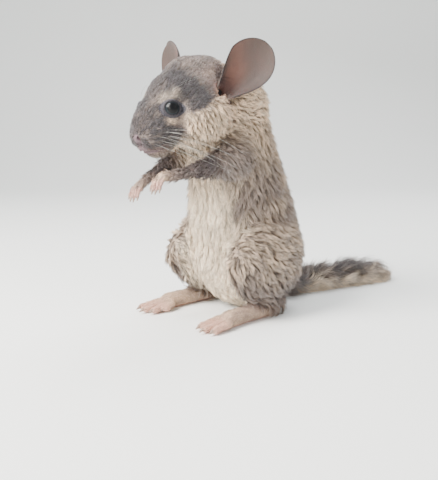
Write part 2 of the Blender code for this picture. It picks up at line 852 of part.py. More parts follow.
def ear_point(side, across, along):
    """A point of the cup's middle surface. across runs -1 to 1, along from the root 0 to the tip 1."""
    root = in_head(side * EAR_ROOT[0], *EAR_ROOT[1:])
    rise = math.sqrt(EAR_LENGTH**2 - EAR_LEAN_OUT**2 - EAR_LEAN_BACK[side] ** 2)
    axis = at(side * EAR_LEAN_OUT, -EAR_LEAN_BACK[side], rise).normalized()
    facing = at(side * math.sin(EAR_FACING[side]), math.cos(EAR_FACING[side]), 0)
    facing = (facing - facing.dot(axis) * axis).normalized()
    sideways = axis.cross(facing)

    widest = 0.54
    root_half = 13 * MM
    if along > widest:
        half = EAR_WIDTH / 2 * math.sqrt(max(0.0, 1 - ((along - widest) / (1 - widest)) ** 2))
    else:
        half = root_half + (EAR_WIDTH / 2 - root_half) * math.sin(math.pi / 2 * along / widest)
    curl = math.radians(118) * (1 - along) ** 2.2 + math.radians(28) * (1 - (1 - along) ** 2.2)
    bend_radius = max(half, 0.5 * MM) / curl
    angle = across * curl
    tip_curl = 1.5 * MM * along**3
    return (
        root
        + axis * (along * EAR_LENGTH)
        + sideways * bend_radius * math.sin(angle)
        + facing * (bend_radius * (1 - math.cos(angle)) - 2.5 * MM * math.sin(math.pi * along) + tip_curl)
    )


def make_ear(name, side, flesh):
    """A thin cup, rolled into a funnel at its root and trimmed to the head and the neck."""
    columns, rows = 8, 9
    bm = bmesh.new()
    grid = []
    for row in range(rows):
        along = -0.12 + 1.12 * math.sin(math.pi / 2 * row / rows)
        sunk = at(0, 0, min(along, 0) * EAR_LENGTH)
        places = [ear_point(side, 2 * c / columns - 1, max(along, 0)) + sunk for c in range(columns + 1)]
        grid.append([bm.verts.new(place) for place in places])
    tip = bm.verts.new(ear_point(side, 0, 1))
    for low, high in zip(grid, grid[1:]):
        for c in range(columns):
            bm.faces.new((low[c], low[c + 1], high[c + 1], high[c]))
    for c in range(columns):
        bm.faces.new((grid[-1][c], grid[-1][c + 1], tip))
    bmesh.ops.recalc_face_normals(bm, faces=bm.faces)
    ear = new_object(f"ear_{name}", bm)
    thicken = ear.modifiers.new("thickness", "SOLIDIFY")
    thicken.thickness = EAR_THICKNESS
    thicken.offset = 0
    bake(ear)
    bm = bmesh.new()
    bm.from_mesh(ear.data)
    bmesh.ops.recalc_face_normals(bm, faces=bm.faces)
    bmesh.ops.triangulate(bm, faces=bm.faces)
    bm.to_mesh(ear.data)
    bm.free()
    for node in flesh:
        skin = grown(node, GAP)
        boolean(ear, skin, "DIFFERENCE")
        discard(skin)
    keep_largest(ear)
    return ear


def make_haunch(body, name, side):
    haunch = copy_of(body, f"haunch_{name}")
    keep_inside(haunch, region_haunch(side))
    cut_away(haunch, region_foot(side))
    cut_floor(haunch)
    keep_largest(haunch)
    return haunch


def make_foot(name, side):
    foot = fuse(f"hind_foot_{name}", [*foot_forms(side), *haunch_forms(side)], 0.8 * MM, 3, 6.6 * MM)
    keep_inside(foot, region_foot(side))
    cut_floor(foot)
    join_claws(foot, foot_claws(side))
    keep_largest(foot)
    return foot


def make_foreleg(name, side):
    forms = [*trunk_forms(), *foreleg_forms(side), *forepaw_forms(side)]
    foreleg = fuse(f"foreleg_{name}", forms, 1.2 * MM, 6, 8 * MM)
    keep_inside(foreleg, region_foreleg(side))
    cut_away(foreleg, region_forepaw(side))
    keep_largest(foreleg)
    return foreleg


def make_forepaw(name, side):
    forms = [*foreleg_forms(side), *forepaw_forms(side)]
    paw = fuse(f"forepaw_{name}", forms, 0.6 * MM, 3, 4 * MM)
    keep_inside(paw, region_forepaw(side))
    join_claws(paw, forepaw_claws(side))
    keep_largest(paw)
    return paw


def join_claws(obj, claws):
    for claw in claws:
        bm = bmesh.new()
        add_limb(bm, claw, detail=1)
        piece = new_object("claw", bm)
        boolean(obj, piece, "UNION")
        discard(piece)


def make_tail():
    tail = fuse("tail", [*trunk_forms(), *tail_forms()], 1.2 * MM, 8, 8 * MM)
    keep_inside(tail, region_tail())
    cut_floor(tail)
    keep_largest(tail)
    return tail


def clear_scene():
    for obj in list(bpy.data.objects):
        bpy.data.objects.remove(obj)


def main():
    clear_scene()
    body = fuse("body", body_forms(), 2 * MM, 10, 10 * MM)
    torso, neck, head, tail = make_torso(body), make_neck(body), make_head(), make_tail()
    nodes = {torso: COAT, neck: COAT, head: HEAD_GREY, tail: COAT}
    coats = [(neck, neck_roots, RUFF_COAT), (torso, trunk_roots, TRUNK_COAT), (tail, tail_roots, TAIL_COAT)]
    for name, side in SIDES.items():
        haunch = make_haunch(body, name, side)
        nodes[haunch] = nodes[make_foreleg(name, side)] = COAT
        nodes[make_foot(name, side)] = nodes[make_forepaw(name, side)] = SKIN
        nodes[make_ear(name, side, (head, neck))] = SKIN
        nodes[make_eye(name, side)] = EYE_BLACK
        coats.append((haunch, lambda surface, side=side: haunch_roots(surface, side), HAUNCH_COAT))
    discard(body)
    for obj, roots_of, coat in coats:
        add_locks(obj, roots_of(surface_of(obj)), coat, [other for other in nodes if other is not obj])
    for obj, colour in nodes.items():
        paint(obj, colour, 0.05 if colour is EYE_BLACK else 0.8)


main()
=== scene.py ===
"""The looks of a life-size chinchilla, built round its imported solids.

Lengths are in millimetres until a mesh is made. Places are written as (side, forward, up), or as
(side, ahead, above) in the head. The animal faces -Y and its left side is at +X.
One skin runs over the whole body. The coat is closed tapered tufts that grow from it, gathered in
locks that follow the lie of the fur.
"""

import math
from collections import namedtuple

import bmesh
import bpy
import numpy as np
from mathutils import Matrix, Vector
from mathutils.bvhtree import BVHTree


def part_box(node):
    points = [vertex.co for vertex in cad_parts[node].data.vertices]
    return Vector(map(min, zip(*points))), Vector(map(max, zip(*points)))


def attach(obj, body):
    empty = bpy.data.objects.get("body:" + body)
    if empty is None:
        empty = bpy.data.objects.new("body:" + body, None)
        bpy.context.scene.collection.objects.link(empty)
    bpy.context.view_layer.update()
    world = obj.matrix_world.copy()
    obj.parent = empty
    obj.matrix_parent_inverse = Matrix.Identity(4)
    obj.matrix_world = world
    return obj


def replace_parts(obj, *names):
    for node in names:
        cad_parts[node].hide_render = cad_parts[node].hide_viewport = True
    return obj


MM = 0.001
SIDES = {"left": 1, "right": -1}
SEED = 7

# The head and its features, as in the solids. A spot is a place in the head and its radii, and a
# spot off the middle is the left side's.
HEAD_FORWARD = 69
HEAD_HEIGHT = 160
HEAD_PITCH = math.radians(24)
NOSE = (0, 47.5, -7)
MOUTH_ABOVE = -17.5
EYE_RADIUS = 6.6
CORNEA_RADIUS = 5.0
CORNEA_RISE = 0.55  # over the eyeball
EYE_OUTWARD = Vector((0.84, -0.41, 0.34)).normalized()
EYE_OPENING = (5.45, 4.75)  # half the gap between the lids, along it and across it
LIDS = (9.6, 6.6)  # half the size of the bare skin round an eye, along it and across it
LID_EDGE = 0.75  # how far the lids stand over the eyeball
NOSE_PAD = ((0, 45.6, -7.4), (4.6, 4.6, 4.3))
NOSTRIL = ((3.3, 45.0, -7.0), (1.1, 3.4, 2.6))
NOSTRIL_LEAN = 30  # degrees, inwards below
NOSE_WING = ((3.4, 45.8, -6.0), (2.3, 2.8, 1.9))
WHISKER_PAD = ((8.5, 38, -8), (5, 8, 6.5))
UPPER_LIP = ((0, 44.5, -12.5), (0, 42.5, -17))  # the line of its bare skin

EAR_LENGTH = 45.5
EAR_WIDTH = 37
EAR_WIDEST = 0.54  # as a share of the length
EAR_ROOT_HALF = 13  # half its width at the root
EAR_CURLS = (math.radians(118), math.radians(28))  # to each side of the middle, at the root and the tip
EAR_THICKNESS = 1.3
EAR_RIM_THICKNESS = 0.9
EAR_ROOT = (20.5, -24, -3)
EAR_LEAN_OUT = 25
EAR_LEAN_BACK = {1: 20, -1: 4}
EAR_FACING = {1: math.radians(46), -1: math.radians(16)}
EAR_GRID = (96, 76)  # rows from root to tip, and columns from edge to edge
EAR_CANAL = ((22.0, -21.2, -1.6), (4.6, 3.4, 3.2))
CANAL_LEDGE = ((26.5, -16, -1.5), (5.5, 6, 5))  # sunk before the canal
CANAL_SHADE = ((25.5, -13.5, -1.5), (7, 6, 5))
EAR_BASE = ((24.5, -19, -1.5), (9, 7.5, 9))  # bare of fur
ROSY_BASE = ((24.5, -19, -0.5), (9, 7.5, 8))
BEHIND_EAR = ((17, -32, 8), (9, 9, 9))
CANAL_FOLD = ((21.4, -24.7, 2.0), (23.6, -25.0, -2.5), (26.5, -24.0, -7.0))
# Creases at the front of an ear's base, as (across from its middle, along, 0).
EAR_CREASES = (
    ((-16, 5.8, 0), (-9, 8.4, 0), (-1.5, 11.6, 0)),
    ((-16, 5.0, 0), (-9, 6.4, 0), (-1.5, 8.2, 0)),
    ((-14, 4.2, 0), (-9, 4.5, 0), (-3.5, 4.8, 0)),
)

# Where the head's profile dips or, with a depth under 0, stands out: a spot and its depth.
HEAD_DENTS = (
    ((0, 18.5, 19.5), (28, 13, 12), 2.6),
    ((0, 38, 6.5), (9, 6, 5), -0.9),
    ((0, 42.5, -1.4), (15, 11, 5.4), 1.8),
    ((0, 46, -12.4), (5.5, 4, 3), 1.5),
    ((0, 42.5, -16.2), (9, 5, 4), -1.0),
    ((0, -12, 24), (18, 12, 9), -1.6),
)

FOOT_SIDE = 35
HEEL_FORWARD = 4
FOOT_LENGTH = 56
TOE_LENGTH = 17
# The shoulder, elbow, wrist and knuckles of each side.
ARM = {
    1: ((24, 38, 121), (25, 56, 117), (17, 89, 110), (15, 97, 110)),
    -1: ((24, 38, 121), (25, 54, 116), (16, 85, 107.5), (15, 93.5, 102)),
}
FINGER_REACH = 7
FINGER_DROP = 8.5

WHISKER_ROWS = 5
WHISKERS = ((26, 0.08), (40, 0.09), (56, 0.10), (68, 0.13))  # length and radius, from the front back
BROW_HAIRS = 3
BROW_HAIR_RADIUS = 0.07

TAIL_LENGTH = 112
TAIL_SWING = 26

VOXEL = 1.0
SKIN_TRIANGLES = 190000
REGION_EDGE = 1.2  # how softly one region's skin passes into the next one's
MARKING_EDGE = 3.5  # the same for the markings

# The camera: the frame is 438 x 480 pixels, and the left eye lies at EYE_PIXEL in it.
PHOTO_WIDTH, PHOTO_HEIGHT = 438, 480
EYE_PIXEL = (172.5, 108)
PIXELS_PER_MM = 1.5
CAMERA_AZIMUTH = math.radians(47)
CAMERA_ELEVATION = math.radians(10)
LENS, SENSOR = 50, 36

# The floor, in metres.
FLOOR_REACH = 9.0  # towards the camera and to both sides
FLOOR_BEND_AT = 0.9
FLOOR_BEND = 0.8
BACKDROP_HEIGHT = 3.5

Ball = namedtuple("Ball", "centre radii turn")
Limb = namedtuple("Limb", "start end start_radius end_radius")


# ---------------------------------------------------------------- places and forms


def at(side, forward, up):
    return Vector((side, -forward, up))


HEAD_FRAME = Matrix.Translation(at(0, HEAD_FORWARD, HEAD_HEIGHT)) @ Matrix.Rotation(HEAD_PITCH, 4, "X")


def in_head(side, ahead, above):
    return HEAD_FRAME @ at(side, ahead, above)


def ball(centre, side_radius, forward_radius, up_radius, turn=None):
    return Ball(centre, (side_radius, forward_radius, up_radius), turn or Matrix.Identity(4))


def head_ball(place, *radii):
    return ball(in_head(*place), *radii, Matrix.Rotation(HEAD_PITCH, 4, "X"))


def trunk_forms():
    rump, belly, chest, shoulders = at(0, -1, 45), at(0, 6, 73), at(0, 13, 104), at(0, 20, 130)
    return [
        ball(rump, 44, 46, 46),
        Limb(rump, belly, 44, 42.5),
        Limb(belly, chest, 42.5, 37),
        Limb(chest, shoulders, 37, 34.5),
    ]


def neck_forms():
    neck = at(0, 26, 156)
    return [
        Limb(at(0, 20, 130), neck, 34.5, 31),
        ball(neck, 34, 35, 33),
        ball(at(0, 46, 152), 29, 27, 27),
    ]


def head_forms():
    forms = [
        head_ball((0, -8, 1), 25, 31, 23.5),
        head_ball((0, 13, -3), 20.5, 23, 19.5),
        head_ball((0, 30, -6), 16.5, 16, 13.5),
        head_ball((0, -14, 6), 20, 34, 21),
        head_ball((0, 29, -19.5), 9.5, 12, 9),
        head_ball((0, 37, -1), 9, 8.5, 7.5),
        head_ball((0, 36, -14), 10, 8.5, 7),
        head_ball((0, NOSE[1] - 4.3, NOSE[2]), 5, 4.3, 5),
        head_ball((0, 8, -15), 18, 21, 11),
        head_ball((0, 4, 8.5), 20, 24, 15),
        head_ball((0, 22, 2.5), 13.5, 18, 11),
    ]
    for side in SIDES.values():
        forms.append(head_ball((side * 7.4, 35.5, -10.5), 8, 8.5, 7.2))
        forms.append(head_ball((side * 17, -3, -10), 16, 25, 18))
    return forms


def haunch_forms(side):
    knee = at(side * 35, 34, 44)
    return [
        ball(at(side * 33, 12, 44), 18, 38, 35, Matrix.Rotation(math.radians(12), 4, "X")),
        ball(knee, 14, 20, 20),
        Limb(knee + at(0, 0, -10), at(side * FOOT_SIDE, HEEL_FORWARD, 12), 12, 9),
    ]


def toe_tips(side):
    """The ends of the three long toes and of the short inner one."""
    spread = [(-7.5, 0.82), (0.0, 1.0), (7.5, 0.86), (-9.5, 0.25)]
    root = HEEL_FORWARD + FOOT_LENGTH
    return [at(side * (FOOT_SIDE + across), root + share * TOE_LENGTH, 3.2) for across, share in spread]


def foot_forms(side):
    heel = at(side * (FOOT_SIDE - 1), HEEL_FORWARD, 6.5)
    middle = at(side * FOOT_SIDE, HEEL_FORWARD + 0.55 * FOOT_LENGTH, 6)
    front = at(side * FOOT_SIDE, HEEL_FORWARD + 0.88 * FOOT_LENGTH, 5.5)
    forms = [Limb(heel, middle, 7, 6.5), Limb(middle, front, 6.5, 7)]
    for tip in toe_tips(side):
        root = front.lerp(tip, 0.25)
        root.x = front.x + 0.75 * (tip.x - front.x)
        root.z = 4.5
        forms.append(Limb(root, tip, 3.8, 2.8))
        forms.append(ball(tip + at(0, -1.5, -0.6), 3.3, 4.2, 2.6))
    return forms


def foot_claws(side):
    return [Limb(tip + at(0, 1.4, 0.3), tip + at(0, 4.6, -1.2), 1.3, 0.4) for tip in toe_tips(side)]


def arm_places(side):
    """(shoulder, elbow, wrist, palm) of one side."""
    return [at(side * across, forward, up) for across, forward, up in ARM[side]]


def foreleg_forms(side):
    shoulder, elbow, wrist, _ = arm_places(side)
    return [ball(shoulder, 13, 17, 15), Limb(shoulder, elbow, 12, 9), Limb(elbow, wrist, 8, 3.6)]


def finger_joints(side):
    """(root, bend, tip) of each finger: forward from the knuckles, then curled down."""
    palm = arm_places(side)[3]
    joints = []
    for across, reach in ((-5.2, 0.82), (-1.8, 1.0), (1.8, 1.0), (5.2, 0.85)):
        root = palm + at(0.55 * across, 0, 0)
        bend = palm + at(0.85 * across, 0.62 * reach * FINGER_REACH, -0.3 * reach * FINGER_DROP)
        tip = palm + at(across, reach * FINGER_REACH, -reach * FINGER_DROP)
        joints.append((root, bend, tip))
    return joints


def forepaw_forms(side):
    _, _, wrist, palm = arm_places(side)
    forms = [Limb(wrist, palm, 3.5, 3.5)]
    for root, bend, tip in finger_joints(side):
        forms.append(Limb(root, bend, 1.8, 1.55))
        forms.append(Limb(bend, tip, 1.55, 1.2))
        forms.append(ball(tip - at(0, -0.1, 0.1), 1.35, 1.4, 1.5))
    forms.append(Limb(palm, palm + at(-side * 4, 1, -3.5), 1.7, 1.2))
    return forms


def forepaw_claws(side):
    curve = at(0, 0.8, -2.8)
    return [Limb(tip + 0.2 * curve, tip + curve, 0.8, 0.3) for *_, tip in finger_joints(side)]


def tail_radius(share):
    taper = max(0.0, share - 0.75) / 0.25
    return 7.5 + 1.5 * math.sin(math.pi / 2 * min(1.0, share / 0.75)) - 3 * taper**2


def tail_point(share):
    """A point of the tail's line: it drops from the rump to the floor and bends to the left."""
    raised = 8 * max(0.0, 1 - share / 0.25) ** 2
    return at(TAIL_SWING * share**1.7, -40 - share * TAIL_LENGTH, tail_radius(share) - 0.4 + raised)


def tail_forms():
    steps = 6
    forms = [Limb(at(0, -24, 22), tail_point(0), 13, tail_radius(0))]
    for i in range(steps):
        near, far = i / steps, (i + 1) / steps
        forms.append(Limb(tail_point(near), tail_point(far), tail_radius(near), tail_radius(far)))
    return forms


def both_sides(forms_of):
    return [form for side in SIDES.values() for form in forms_of(side)]


REGIONS = {
    "trunk": trunk_forms(),
    "neck": neck_forms(),
    "head": head_forms(),
    "haunch": both_sides(haunch_forms),
    "foot": both_sides(foot_forms),
    "foreleg": both_sides(foreleg_forms),
    "forepaw": both_sides(forepaw_forms),
    "tail": tail_forms(),
}
# How deep the skin lies under the surface of each region's forms.
DEPTHS = {
    "trunk": 3.2, "neck": 3.0, "head": 1.0, "haunch": 3.0,
    "foot": 0.5, "foreleg": 1.4, "forepaw": 0.3, "tail": 3.6,
}
# How far the fur of each region strays from its guided lie, in radians.
SWIRLS = {
    "trunk": 0.22, "neck": 0.40, "head": 0.08, "haunch": 0.35,
    "foot": 0.05, "foreleg": 0.12, "forepaw": 0.0, "tail": 0.15,
}


# ---------------------------------------------------------------- numbers on a surface


def step(low, high, value):
    """0 below low, 1 above high, and smooth between. high may be the lower of the two."""
    share = np.clip((value - low) / (high - low), 0, 1)
    return share * share * (3 - 2 * share)


def unit(vectors):
    return vectors / np.maximum(np.linalg.norm(vectors, axis=-1, keepdims=True), 1e-9)


def dot(a, b):
    return np.sum(a * b, axis=-1, keepdims=True)


def read(items, name, width, kind=np.float64):
    values = np.empty(len(items) * width, np.float32 if kind is np.float64 else np.int32)
    items.foreach_get(name, values)
    return values.reshape(-1, width).astype(kind)


def to_head(points):
    """(side, ahead, above) of points, in the head's frame."""
    turn = np.array(HEAD_FRAME.to_3x3())
    local = (points - np.array(HEAD_FRAME.translation)) @ turn
    return local[:, 0], -local[:, 1], local[:, 2]


def mirrored_in_head(points):
    """Points as rows of (side, ahead, above) in the head, the right half laid on the left one."""
    side, ahead, above = to_head(points)
    return np.stack([np.abs(side), ahead, above], axis=1)


def away_from(points, place):
    """Distance of points from one place."""
    return np.linalg.norm(points - np.array(place), axis=1)


def distance_to(form, points):
    """Distance of points from a form's surface, negative inside."""
    if isinstance(form, Ball):
        local = (points - np.array(form.centre)) @ np.array(form.turn.to_3x3())
        scaled = local / np.array(form.radii)
        size = np.linalg.norm(scaled, axis=1)
        slope = np.linalg.norm(scaled / np.array(form.radii), axis=1)
        return size * (size - 1) / np.maximum(slope, 1e-9)
    start, axis = np.array(form.start), np.array(form.end - form.start)
    share = np.clip((points - start) @ axis / (axis @ axis), 0, 1)
    away = np.linalg.norm(points - start - share[:, None] * axis, axis=1)
    return away - (form.start_radius + share * (form.end_radius - form.start_radius))


class Surface:
    """A mesh as arrays."""

    def __init__(self, mesh):
        self.points = read(mesh.vertices, "co", 3)
        self.edges = read(mesh.edges, "vertices", 2, np.int64)
        self.count = np.bincount(self.edges.ravel(), minlength=len(self.points))[:, None]

    def spread(self, values, times, share=0.5):
        """Draws each point's value towards the mean of its neighbours'."""
        near, far = self.edges.T
        for _ in range(times):
            total = np.zeros_like(values)
            for axis in range(values.shape[1]):
                total[:, axis] = np.bincount(near, values[far, axis], len(values))
                total[:, axis] += np.bincount(far, values[near, axis], len(values))
            values = values + share * (total / self.count - values)
        return values


def region_distances(points):
    """Distance of points from each region's nearest form, a column for each region."""
    columns = [np.min([distance_to(form, points) for form in forms], axis=0) for forms in REGIONS.values()]
    return np.stack(columns, axis=1)


def region_shares(distances, softness):
    """How much points belong to each region, as name: share, blended over about the softness in mm."""
    close = np.exp((distances.min(axis=1, keepdims=True) - distances) / softness)
    close /= close.sum(axis=1, keepdims=True)
    return {name: close[:, i] for i, name in enumerate(REGIONS)}


# ---------------------------------------------------------------- the skin


def add_form(bm, form, detail=3):
    if isinstance(form, Ball):
        place = Matrix.Translation(form.centre) @ form.turn @ Matrix.Diagonal((*form.radii, 1))
        bmesh.ops.create_icosphere(bm, subdivisions=detail, radius=1, matrix=place)
        return
    ends = bmesh.new()
    for centre, radius in ((form.start, form.start_radius), (form.end, form.end_radius)):
        place = Matrix.Translation(centre)
        bmesh.ops.create_icosphere(ends, subdivisions=detail, radius=radius, matrix=place)
    made = bmesh.ops.convex_hull(ends, input=ends.verts)
    unused = {item for key in ("geom_interior", "geom_unused") for item in made[key]}
    inside = [item for item in unused if isinstance(item, bmesh.types.BMVert)]
    bmesh.ops.delete(ends, geom=inside, context="VERTS")
    bmesh.ops.recalc_face_normals(ends, faces=ends.faces)
    mesh = bpy.data.meshes.new("limb")
    ends.to_mesh(mesh)
    ends.free()
    bm.from_mesh(mesh)
    bpy.data.meshes.remove(mesh)


def new_object(name, bm):
    mesh = bpy.data.meshes.new(name)
    bm.to_mesh(mesh)
    bm.free()
    obj = bpy.data.objects.new(name, mesh)
    bpy.context.scene.collection.objects.link(obj)
    return obj


def move_points(mesh, points):
    mesh.vertices.foreach_set("co", points.astype(np.float32).ravel())
    mesh.update()


def bake(obj):
    """Replaces the object's mesh by the one that its modifiers make."""
    graph = bpy.context.evaluated_depsgraph_get()
    made = bpy.data.meshes.new_from_object(obj.evaluated_get(graph), depsgraph=graph)
    obj.modifiers.clear()
    old = obj.data
    obj.data = made
    bpy.data.meshes.remove(old)


def fused_body():
    """One closed surface over all the forms, its creases softened and sunk by the coat's depth."""
    bm = bmesh.new()
    for forms in REGIONS.values():
        for form in forms:
            add_form(bm, form)
    body = new_object("skin", bm)
    remesh = body.modifiers.new("fuse", "REMESH")
    remesh.mode = "VOXEL"
    remesh.voxel_size = VOXEL
    bake(body)
    surface = Surface(body.data)
    shares = region_shares(region_distances(surface.points), REGION_EDGE)
    small = shares["foot"] + shares["forepaw"]
    surface.points = surface.spread(surface.points, 20, 0.5 * (1 - 0.85 * small)[:, None])
    depth = sum(shares[name] * DEPTHS[name] for name in REGIONS)
    depth *= 1 - 0.75 * ruff_edge_fade(surface.points)
    move_points(body.data, surface.points)
    normals = read(body.data.vertex_normals, "vector", 3)
    sunk = surface.points - normals * depth[:, None]
    sunk[:, 2] = np.maximum(sunk[:, 2], 0.0)
    move_points(body.data, surface.spread(sunk, 2))
    return body


def ruff_edge_fade(points):
    """0.3 at the edge of the cheek's long coat, falling to 0 on both sides of it."""
    ruff = ruff_share(points)
    return 4 * ruff * (1 - ruff) * 0.3


def ruff_share(points):
    """1 on the cheeks, the throat and the neck, whose fur is long, and 0 on the face and the crown."""
    _, ahead, above = to_head(points)
    front = np.interp(above, [-30, -24, -20, -14, -8, -4, -1, 2], [24, 21.5, 20.5, 19.5, 19, 17, 14.5, 10])
    top = np.interp(ahead, [-30, -20, -12, -6, 0, 8, 15], [3, 3, 1.5, -0.5, -2.0, -2.6, -2.0])
    below_ear = step(-1.5, 2.5, front - ahead) * step(1.3, -1.3, above - top)
    nape = step(-35, -42, ahead + 0.25 * above)
    return np.maximum(below_ear, nape)


def refine(bm, verts):
    """Splits each edge between two of the verts in half."""
    edges = [edge for edge in bm.edges if edge.verts[0] in verts and edge.verts[1] in verts]
    bmesh.ops.subdivide_edges(bm, edges=edges, cuts=1, use_grid_fill=True)


def eye_centre(side):
    low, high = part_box("eye_left" if side > 0 else "eye_right")
    return (low + high) / 2 / MM


def eye_axis(side):
    outward = Vector((side * EYE_OUTWARD.x, EYE_OUTWARD.y, EYE_OUTWARD.z))
    return (HEAD_FRAME.to_3x3() @ outward).normalized()


def eye_frame(points, side):
    """Points from an eye's centre, and the eye's own ways: level, across the lids and outward."""
    axis = eye_axis(side)
    level = Vector((0, 0, 1)).cross(axis).normalized()
    ways = [np.array(way) for way in (level, axis.cross(level), axis)]
    return points - np.array(eye_centre(side)), ways


def from_eye(points, side):
    """How far points lie out along the eye's axis, and from the axis: 1 at the edge of the lids."""
    local, (level, across, axis) = eye_frame(points, side)
    reach = unit(local) * (EYE_RADIUS + LID_EDGE)
    ring = np.hypot(reach @ level / EYE_OPENING[0], reach @ across / EYE_OPENING[1])
    ahead = local @ axis
    return ahead, np.where(ahead > 0, ring * np.maximum(1, np.linalg.norm(local, axis=1) / 9), 9)


def lid_share(points, side):
    """1 on the bare lids round one eye, longer than high, falling to 0 at their edge."""
    local, (level, across, axis) = eye_frame(points, side)
    reach = (np.abs(local @ level) / LIDS[0]) ** 1.4 + (np.abs(local @ across) / LIDS[1]) ** 1.8
    return step(1.1, 0.93, reach) * (local @ axis > 0)


def refined_face(body):
    """More points on the face, the fingers and the toes, and most round the eyes, nose and mouth."""
    bm = bmesh.new()
    bm.from_mesh(body.data)
    # How far from the eyes, the nose and the ear canals each round of splitting reaches.
    for number, (eye_reach, nose_reach, canal_reach) in enumerate(((16, 20, 9), (8.5, 12, 5), (0, 8.5, 4))):
        points = np.array([vert.co for vert in bm.verts])
        places = mirrored_in_head(points)
        eyes = np.min([away_from(points, eye_centre(side)) for side in SIDES.values()], axis=0)
        nose = away_from(places * (0.8, 1, 1), (0, 43, -11))
        canal = away_from(places, (24, -18, 0))
        wanted = (eyes < eye_reach) | (nose < nose_reach) | (canal < canal_reach)
        if number == 0:
            hand = (points[:, 1] < -80) & (points[:, 2] < 124)
            foot = (points[:, 2] < 13) & (points[:, 1] < -30)
            wanted |= hand | foot
        refine(bm, {vert for vert, chosen in zip(bm.verts, wanted) if chosen})
    bm.to_mesh(body.data)
    bm.free()
    surface = Surface(body.data)
    move_points(body.data, surface.spread(surface.points, 3))


def ellipsoid(points, place, radii, turn=None):
    """1 at the middle of an ellipsoid in the head, falling to 0 at its surface."""
    local = points - np.array(in_head(*place))
    axes = HEAD_FRAME.to_3x3() @ (turn or Matrix.Identity(3))
    scaled = local @ np.array(axes) / np.array(radii)
    return np.clip(1 - np.sum(scaled**2, axis=1), 0, 1)


def spot_share(points, side, spot, turn=None):
    """1 in the middle of one side's spot, falling to 0 at its surface."""
    (across, ahead, above), radii = spot
    return ellipsoid(points, (side * across, ahead, above), radii, turn)


def nostril_share(points, side):
    """1 in the middle of a nostril, which is a slit, falling to 0 at its edge."""
    lean = Matrix.Rotation(math.radians(-side * NOSTRIL_LEAN), 3, "Y")
    return spot_share(points, side, NOSTRIL, lean)


def line_distance(points, line):
    """Distance of points from a chain of places."""
    best = np.full(len(points), 1e9)
    for start, end in zip(line, line[1:]):
        start, axis = np.array(start), np.array(end - start)
        share = np.clip((points - start) @ axis / (axis @ axis), 0, 1)
        best = np.minimum(best, np.linalg.norm(points - start - share[:, None] * axis, axis=1))
    return best


def carve_eye(points, side):
    """Opens the lids round one eyeball, with a rim that stands over it and a fold behind the rim."""
    centre = np.array(eye_centre(side))
    local = points - centre
    ahead, ring = from_eye(points, side)
    size = np.linalg.norm(local, axis=1)
    near = (ahead > 0) & (size < 15)
    # Inside the lids the skin lies behind the eyeball's surface.
    wanted = np.where(ring < 1, EYE_RADIUS - 1.2, EYE_RADIUS + LID_EDGE)
    fold = 0.2 * furrow(ring - 1.1, 0.07) - 0.2 * furrow(ring - 1.32, 0.07)
    share = np.where(ring < 1, near, step(1.8, 1.15, ring) * near)
    moved = size + share * (wanted + fold - size)
    return centre + local / np.maximum(size, 1e-6)[:, None] * moved[:, None]


def furrow(away, breadth):
    """1 in the middle of a furrow or ridge, falling away on both sides over about its breadth."""
    return np.exp(-((away / breadth) ** 2))


def digit_gaps(points, side):
    """1 in the furrows between the fingers and the toes of one side, falling to 0 beside them."""
    palm, front = arm_places(side)[3], HEEL_FORWARD + 0.88 * FOOT_LENGTH
    across, forward, up = points[:, 0], -points[:, 1], points[:, 2]
    reach = 0.5 * ((forward + palm.y) / FINGER_REACH + (palm.z - up) / FINGER_DROP)
    near = away_from(points, palm) < 15
    gaps = np.zeros(len(points))
    for middle in (-3.5, 0, 3.5):
        away = across - palm.x - middle * (0.55 + 0.45 * reach)
        gaps += furrow(away, 0.42) * step(0.05, 0.4, reach) * near
    reach = (forward - front) / 22
    for middle in (-3.75, 3.75):
        away = across - side * FOOT_SIDE - middle * (0.75 + 0.25 * reach)
        gaps += furrow(away, 0.6) * step(0.05, 0.35, reach) * (np.abs(up - 5) < 6)
    return np.clip(gaps, 0, 1)


def carved(points, normals):
    """The skin with the lids, nostrils, nose pad, mouth and ear canals worked into it."""

    def sink(depth, share):
        """Moves the points in along the normals, or out where the depth is under 0."""
        return points - normals * depth * share[:, None]

    for side in SIDES.values():
        points = carve_eye(points, side)
        points = sink(1.9, step(0, 0.5, nostril_share(points, side)))
        points = sink(-0.9, spot_share(points, side, NOSE_WING))
        points = sink(-0.8, spot_share(points, side, WHISKER_PAD))
        points = sink(3.5, step(0, 0.8, spot_share(points, side, CANAL_LEDGE)))
        points = sink(3.0, step(0, 0.8, spot_share(points, side, EAR_CANAL)))
        points = sink(0.9, digit_gaps(points, side))
    for place, radii, depth in HEAD_DENTS:
        points = sink(depth, step(0, 1, ellipsoid(points, place, radii)))
    cleft, lips = mouth_lines()
    for line, depth, breadth in ((cleft, 0.9, 0.75), (lips, 1.4, 0.8)):
        away = line_distance(points, line)
        points = sink(1, depth * furrow(away, breadth))
        points = sink(-1, 0.45 * furrow(away - 1.9, 0.9))
    return points


def mouth_lines():
    """The cleft under the nose, and the line between the lips, near the skin's surface."""
    cleft = [in_head(0, 47.5, -10.5), in_head(0, 46, -14), in_head(0, 43, MOUTH_ABOVE)]
    lips = []
    for i in range(-6, 7):
        across = i / 6
        lips.append(in_head(across * 9.5, 43 - 10 * across**2, MOUTH_ABOVE - 2.2 * abs(across)))
    return cleft, lips


def from_upper_lip(points):
    """Distance of points from the upper lip's bare skin."""
    return line_distance(points, [in_head(*place) for place in UPPER_LIP])


